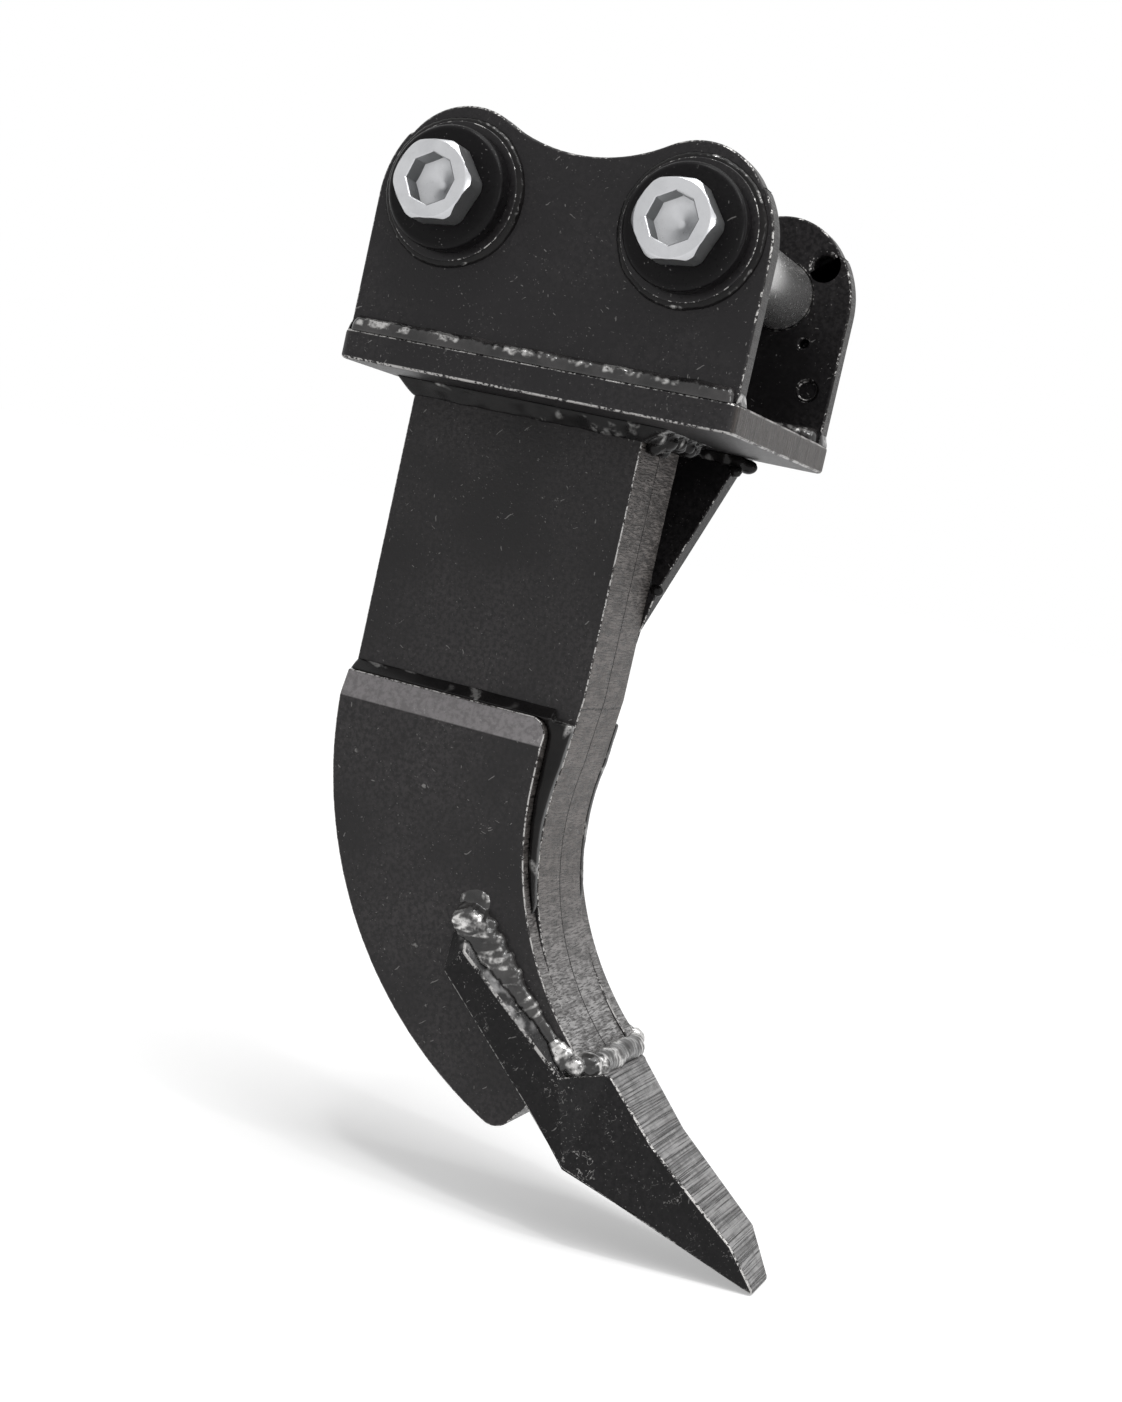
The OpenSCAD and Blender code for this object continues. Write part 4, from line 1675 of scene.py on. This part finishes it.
@dataclass(frozen=True)
class CapScrew:
    """A cap screw: a hexagon head with a turned face, a chamfer and an eight-sided recess, on its thread."""

    seat: float = 81 * MM
    across_flats: float = 30 * MM
    height: float = 13 * MM
    corner_r: float = 16.5 * MM
    face_r: float = 14.9 * MM
    chamfer: float = math.tan(math.radians(52))
    thread_r: float = 8 * MM
    thread: float = 38 * MM
    recess_r: float = 10.2 * MM
    recess_rim: float = 0.4 * MM
    recess_depth: float = 9.5 * MM
    cone: float = 0.42
    head_turn: float = math.radians(6)
    recess_turn: float = math.radians(5)
    steps: int = 144

    def make(self, name: str, place: Vector) -> bpy.types.Object:
        """Builds the screw.

        Args:
            name: The piece's name.
            place: The pin's place along X, and the side as the sign of Y.

        Returns:
            The piece.
        """
        turns = {2.0 * math.pi * k / self.steps for k in range(self.steps)}
        turns |= {self.head_turn + math.pi / 3 * k for k in range(6)}
        turns |= {self.recess_turn + math.pi / 4 * k for k in range(8)}
        mesh = bmesh.new()
        rows = []
        for turn in sorted(turns):
            rows.append([self._point(mesh, place, turn, *spot) for spot in self._section(turn)])
        floor = self.height - self.recess_depth - self.cone * self.recess_r
        inner = self._point(mesh, place, 0.0, 0.0, floor)
        outer = self._point(mesh, place, 0.0, 0.0, -self.thread)
        for row, following in zip(rows, rows[1:] + rows[:1]):
            mesh.faces.new((outer, following[0], row[0]))
            for j in range(len(row) - 1):
                mesh.faces.new((row[j], following[j], following[j + 1], row[j + 1]))
            mesh.faces.new((row[-1], following[-1], inner))
        bmesh.ops.recalc_face_normals(mesh, faces=mesh.faces)
        for face in mesh.faces:
            face.smooth = True
        piece = object_from(name, mesh)
        piece.data.set_sharp_from_angle(angle=math.radians(22))
        return piece

    def _section(self, turn: float) -> list[tuple[float, float]]:
        """Gives the screw's outline at one angle, from the thread's end up and down into the recess.

        Args:
            turn: The angle round the screw's axis.

        Returns:
            The outline's points: the distance from the axis and the height above the seat.
        """
        side = min(self._polygon(turn, 6, self.across_flats / 2, self.head_turn), self.corner_r)
        hole = self._polygon(turn, 8, self.recess_r * math.cos(math.pi / 8), self.recess_turn)
        low = self.height - self.recess_depth - self.cone * (self.recess_r - hole)
        soft = 0.25 * MM
        return [
            (self.thread_r, -self.thread),
            (self.thread_r, 0.0),
            (side - soft, 0.0),
            (side, soft),
            (side, self.height - (side - self.face_r) * self.chamfer),
            (self.face_r + soft, self.height - soft * self.chamfer),
            (self.face_r - soft, self.height),
            (hole + self.recess_rim, self.height),
            (hole, self.height - self.recess_rim),
            (hole, low),
            (0.6 * hole, low - 0.4 * hole * self.cone),
            (0.2 * hole, low - 0.8 * hole * self.cone),
        ]

    @staticmethod
    def _polygon(turn: float, sides: int, apothem: float, corner: float) -> float:
        """Gives how far a regular polygon's outline is from its centre.

        Args:
            turn: The angle to look along.
            sides: The number of sides.
            apothem: The distance of a side.
            corner: The angle of one corner.

        Returns:
            The distance.
        """
        part = 2.0 * math.pi / sides
        return apothem / math.cos((turn - corner) % part - part / 2)

    def _point(
        self, mesh: bmesh.types.BMesh, place: Vector, turn: float, radius: float, height: float
    ) -> bmesh.types.BMVert:
        """Adds a vertex by its angle, distance and height.

        Args:
            mesh: The mesh.
            place: The pin's place along X, and the side as the sign of Y.
            turn: The angle round the axis.
            radius: The distance from the axis.
            height: The height above the seat.

        Returns:
            The vertex.
        """
        x = place.x + radius * math.cos(turn)
        return mesh.verts.new((x, place.y * (self.seat + height), -place.y * radius * math.sin(turn)))


@dataclass
class PinEnds:
    """Boss ring, cap disc and cap screw on both ends of both pins, and the weld round each boss."""

    palette: Palette
    pin_xs: tuple[float, float] = (0.0, -100 * MM)
    ear_out: float = 70 * MM
    boss_r: float = 27.5 * MM
    weld: float = 2.5 * MM
    bead_steps: int = 48

    def build(self) -> None:
        """Builds every pin end and the pins."""
        for side in ("near", "far"):
            for end in ("front", "back"):
                stem = f"{side}_{end}"
                boss = Rounded((EdgePick(0.5 * MM),)).make(f"{stem}_boss", f"{stem}_boss_ring")
                finish_piece(boss, self.palette.boss, [f"{stem}_boss"])
                cap = Rounded((EdgePick(0.4 * MM),)).make(f"{stem}_cap", f"{stem}_cap_disc")
                finish_piece(cap, self.palette.cap, [f"{stem}_cap"])
                seat = Vector((self.pin_xs[0 if end == "front" else 1], -1.0 if side == "near" else 1.0, 0.0))
                screw = CapScrew().make(f"{stem}_cap_screw", seat)
                finish_piece(screw, self.palette.zinc, [f"{stem}_bolt"])
        for end in ("front", "back"):
            pin = Rounded((EdgePick(0.5 * MM),)).make(f"{end}_pin", f"{end}_cross_pin")
            finish_piece(pin, self.palette.pin, [f"{end}_pin"])
        piece = weld_piece("boss_ring_beads", self._beads())
        finish_piece(piece, self.palette.weld, ["boss_welds"])

    def _beads(self) -> list[Bead]:
        """Gives the bead round each boss.

        Returns:
            The beads.
        """
        beads = []
        for x in self.pin_xs:
            for side in (-1, 1):
                stops = []
                for k in range(self.bead_steps):
                    a = 2.0 * math.pi * k / self.bead_steps
                    spoke = Vector((math.cos(a), 0.0, math.sin(a)))
                    corner = Vector((x, side * self.ear_out, 0.0)) + spoke * self.boss_r
                    stops.append(BeadStop(corner, spoke, Vector((0, side, 0)), self.weld, self.weld))
                seed = 5.0 + 2.3 * len(beads)
                beads.append(Bead(stops, closed=True, seed=seed, lump=0.3 * MM, ripple=0.05 * MM, bulge=0.3))
        return beads


@dataclass
class Shank:
    """The doubled shank plate, its cheeks and the brace behind it, with their welds."""

    palette: Palette
    plate_bottom: float = -72 * MM
    back: float = -121 * MM
    front: float = -16.5 * MM
    half: float = 25 * MM
    cheek_line: tuple[tuple[float, float], ...] = (
        (-121, -196), (-24, -196), (-22, -215), (-21.5, -240), (-19, -262), (-13, -282),
    )
    piles: tuple[tuple[float, float, float, float], ...] = (
        (-13, -21, -75, 5), (-11, -14, -76, 5.5), (-13, -9, -77, 4.5), (-10, -3, -75, 5),
        (-12, 4, -76, 5), (-10, 11, -75, 4.5), (-12, 18, -76, 5), (-12, 24, -75, 4.5),
        (-14, -17, -80, 3.6), (-14, -5, -80, 3.4),
    )
    brace_piles: tuple[tuple[float, float, float, float], ...] = (
        (-7, 60, -74.5, 4.2), (-2, 61, -75, 4.5), (3, 63, -75.5, 4.2), (-1, 58, -79, 3.2),
        (-14, 27, -137, 3.2),
    )

    def build(self) -> None:
        """Builds the plates."""
        seam = EdgePick(0.3 * MM, worn=False, point=Vector((0.0, 0.0, 0.0)))
        crease = EdgePick(0.8 * MM, math.radians(12), math.radians(24), worn=False)
        rounded = Rounded((seam, EdgePick(0.8 * MM), crease))
        for node in ("near_shank_plate", "far_shank_plate", "near_cheek", "far_cheek"):
            finish_piece(rounded.make(node, node + "_steel"), self.palette.shank, [node])
        brace = Rounded().make("rear_brace", "rear_brace_plate")
        finish_piece(brace, self.palette.brace, ["rear_brace"])
        for weld in self._welds():
            finish_piece(weld.make(weld.node + "_beads"), self.palette.weld, [weld.node])

    def _welds(self) -> list[GrownWeld]:
        """Gives the welds under the base plate, round the cheeks and along the brace.

        Returns:
            The welds.
        """
        top, half = self.plate_bottom, self.half
        back, front = self.back, self.front
        corners = ((back, -half), (front, -half), (front, half), (back, half), (back, -half))
        ring = [Vector((x, y, top)) for x, y in corners]
        cheeks = []
        for side in (-1, 1):
            y = side * (half + 3.0 * MM)
            cheeks.append([Vector((x * MM, y, z * MM)) for x, z in self.cheek_line])
        brace = [
            [Vector((back, y * MM, z * MM)), Vector((front + 12 * MM, y * MM, z * MM))]
            for y, z in ((25.0, -157.0), (25.0, -136.3), (60.6, -72.0))
        ]
        piles = [Lump(Vector(place) * MM, (r * MM, 0.8 * r * MM, 0.75 * r * MM)) for *place, r in self.piles]
        ends = []
        for *place, r in self.brace_piles:
            ends.append(Lump(Vector(place) * MM, (r * MM, 0.8 * r * MM, 0.8 * r * MM)))
        return [
            GrownWeld("shank_weld", [ring], piles, seed=2.0, pitch=15 * MM, ripple=0.02 * MM, swell=0.1 * MM),
            GrownWeld(
                "cheek_welds",
                cheeks,
                seed=4.0,
                lump=0.35 * MM,
                lump_run=14 * MM,
                pitch=15 * MM,
                ripple=0.02 * MM,
                swell=0.0,
            ),
            GrownWeld("brace_welds", brace, ends, seed=6.0, pitch=8 * MM, ripple=0.03 * MM),
        ]


@dataclass
class ToothPoint:
    """The forked wedge tooth welded over the shank's end, with its beads."""

    palette: Palette
    crown_u: float = 10.3

    def build(self) -> None:
        """Builds the tooth and its welds."""
        crown = EdgePick(2.4 * MM, worn=False, point=tooth_place(self.crown_u, 0.0, 0.0), normal=TOOTH_ALONG)
        crease = EdgePick(0.6 * MM, math.radians(12), math.radians(50), worn=False)
        corner = EdgePick(1.2 * MM, math.radians(50))
        tooth = Rounded((crown, corner, crease)).make("tooth_point", "tooth_wedge")
        finish_piece(tooth, self.palette.tooth, ["tooth_point"])
        beads = GrownWeld(
            "tooth_welds",
            self._runs(),
            self._lumps(),
            seed=9.0,
            swell=0.7 * MM,
            ripple=0.06 * MM,
            lump=1.0 * MM,
            lump_run=7.5 * MM,
        )
        finish_piece(beads.make("tooth_beads"), self.palette.bright_weld, ["tooth_welds"])

    @staticmethod
    def _runs() -> list[list[Vector]]:
        """Gives the lines that the beads follow: one beside each leg, and one in the notch.

        Returns:
            The lines.
        """
        beside = (
            (-80, 5), (-66, 4.6), (-57, 3), (-48, 1.9), (-41, 0.2),
            (-31, -1.3), (-24, -2.3), (-10, -3.5), (0, -3),
        )
        runs = [[tooth_place(u, v, side * 37.0) for u, v in beside] for side in (-1, 1)]
        runs.append([tooth_place(4.0, 0.0, y) for y in (-36.0, 0.0, 36.0)])
        return runs

    @staticmethod
    def _lumps() -> list[Lump]:
        """Gives the blobs where the beads start and end.

        Returns:
            The blobs.
        """
        lumps = []
        beside = (
            (-66, 6.6, 3.2), (-59, 4.6, 3.7), (-51, 2.6, 3.8),
            (-44, 1.2, 3.6), (-37, -0.6, 3.4), (-29, -1.8, 3.2),
        )
        for side in (-1, 1):
            lumps.append(Lump(tooth_place(-77.0, 7.0, side * 32.6), (7.4 * MM, 4.0 * MM, 6.4 * MM)))
            for u, v, r in beside:
                lumps.append(Lump(tooth_place(u, v, side * 35.6), (r * MM, 0.7 * r * MM, 0.9 * r * MM)))
            lumps.append(Lump(tooth_place(1.0, -1.5, side * 37.0), (4.0 * MM, 3.0 * MM, 3.6 * MM)))
        lumps.append(Lump(tooth_place(3.4, 2.0, -33.5), (5.2 * MM, 3.6 * MM, 4.4 * MM)))
        lumps.append(Lump(tooth_place(2.6, 0.0, 31.5), (3.4 * MM, 3.6 * MM, 3.2 * MM)))
        lumps.append(Lump(tooth_place(3.4, 1.6, -18.0), (3.4 * MM, 4.6 * MM, 3.4 * MM)))
        return lumps


# Studio


@dataclass(frozen=True)
class Viewpoint:
    """The camera, at the angle of the photograph."""

    place: tuple[float, float, float] = (0.26126, -0.80412, -0.11764)
    aim: tuple[float, float, float] = (-0.03560, 0.0, -0.19097)
    roll: float = math.radians(12.619)
    lens: float = 52.13

    def build(self) -> bpy.types.Object:
        """Makes the camera and sets it as the scene's.

        Returns:
            The camera.
        """
        data = bpy.data.cameras.new("Camera")
        data.lens = self.lens
        data.sensor_width = 36.0
        data.clip_start, data.clip_end = 0.01, 100.0
        camera = bpy.data.objects.new("Camera", data)
        bpy.context.scene.collection.objects.link(camera)
        look = Vector(self.aim) - Vector(self.place)
        turn = look.to_track_quat("-Z", "Y").to_matrix().to_4x4() @ Matrix.Rotation(self.roll, 4, "Z")
        camera.matrix_world = Matrix.Translation(self.place) @ turn
        bpy.context.scene.camera = camera
        return camera


@dataclass(frozen=True)
class Lamp:
    """A square soft lamp that points at a target."""

    name: str
    place: tuple[float, float, float]
    power: float
    size: float
    aim: tuple[float, float, float] = (-0.03, 0.0, -0.18)

    def build(self) -> None:
        """Makes the lamp."""
        data = bpy.data.lights.new(self.name, "AREA")
        data.energy = self.power
        data.size = self.size
        lamp = bpy.data.objects.new(self.name, data)
        bpy.context.scene.collection.objects.link(lamp)
        look = (Vector(self.aim) - Vector(self.place)).to_track_quat("-Z", "Y")
        lamp.matrix_world = Matrix.Translation(self.place) @ look.to_matrix().to_4x4()


@dataclass(frozen=True)
class Sun:
    """A wide soft sun, which lights the whole floor evenly."""

    towards: tuple[float, float, float] = (0.30, -0.10, 1.0)
    strength: float = 1.75
    spread: float = math.radians(52)

    def build(self) -> None:
        """Makes the sun."""
        data = bpy.data.lights.new("Overhead", "SUN")
        data.energy = self.strength
        data.angle = self.spread
        sun = bpy.data.objects.new("Overhead", data)
        bpy.context.scene.collection.objects.link(sun)
        sun.matrix_world = (-Vector(self.towards)).to_track_quat("-Z", "Y").to_matrix().to_4x4()


@dataclass
class Studio:
    """A white floor under a white world, with a wide sun and soft lamps."""

    floor_z: float
    fill: float = 0.34
    floor_glow: float = 0.38
    sun: Sun = Sun()
    lamps: tuple[Lamp, ...] = (
        Lamp("Side", (1.3, -0.5, 0.2), 3.0, 0.4),
        Lamp("Top", (-0.15, -0.45, 0.95), 1.8, 0.10),
        Lamp("Top right", (0.65, -0.25, 0.85), 1.6, 0.10),
    )

    def build(self) -> None:
        """Makes the floor, the world and the lamps."""
        mesh = bmesh.new()
        bmesh.ops.create_grid(mesh, x_segments=1, y_segments=1, size=40.0)
        bmesh.ops.translate(mesh, verts=mesh.verts, vec=(0.0, 0.0, self.floor_z))
        floor = object_from("Floor", mesh)
        floor.data.materials.append(self._floor_paint())
        floor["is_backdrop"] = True
        self._world()
        self.sun.build()
        for lamp in self.lamps:
            lamp.build()
        scene = bpy.context.scene
        scene.view_settings.view_transform = "Standard"

    def _seen(self, w: Wiring) -> Socket:
        """Marks the rays by which the backdrop is seen, also through gloss and glass.

        Args:
            w: The wiring.

        Returns:
            The mark's socket.
        """
        rays = w.add("LightPath").outputs
        return w.most(w.most(rays["Is Camera Ray"], rays["Is Glossy Ray"]), rays["Is Transmission Ray"])

    def _floor_paint(self) -> bpy.types.Material:
        """Makes the floor's plain white.

        Returns:
            The material.
        """
        material, w, shader = new_material("Floor white")
        shader.inputs["Base Color"].default_value = (0.80, 0.80, 0.80, 1.0)
        shader.inputs["Roughness"].default_value = 0.9
        shader.inputs["Specular IOR Level"].default_value = 0.0
        shader.inputs["Emission Color"].default_value = (1.0, 1.0, 1.0, 1.0)
        w.join(w.times(self._seen(w), self.floor_glow), shader.inputs["Emission Strength"])
        return material

    def _world(self) -> None:
        """Makes the world: white where it is seen, softer where it lights."""
        world = bpy.data.worlds.new("Studio")
        world.use_nodes = True
        world.node_tree.nodes.clear()
        w = Wiring(world.node_tree)
        background = w.add("Background")
        w.join((1.0, 1.0, 1.0), background.inputs["Color"])
        w.join(w.mix(self._seen(w), self.fill, 1.0), background.inputs["Strength"])
        w.join(background.outputs[0], w.add("OutputWorld").inputs["Surface"])
        bpy.context.scene.world = world


def main() -> None:
    """Builds the dressed part and its studio."""
    logging.basicConfig(level=logging.INFO, format="%(message)s")
    cad_low, cad_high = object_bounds()
    Viewpoint().build()
    palette = Palette.build()
    for part in (MountBox(palette), PinEnds(palette), Shank(palette), ToothPoint(palette)):
        part.build()
    Studio(floor_z=cad_low.z - 0.3 * MM).build()


if __name__ == "__main__":
    main()
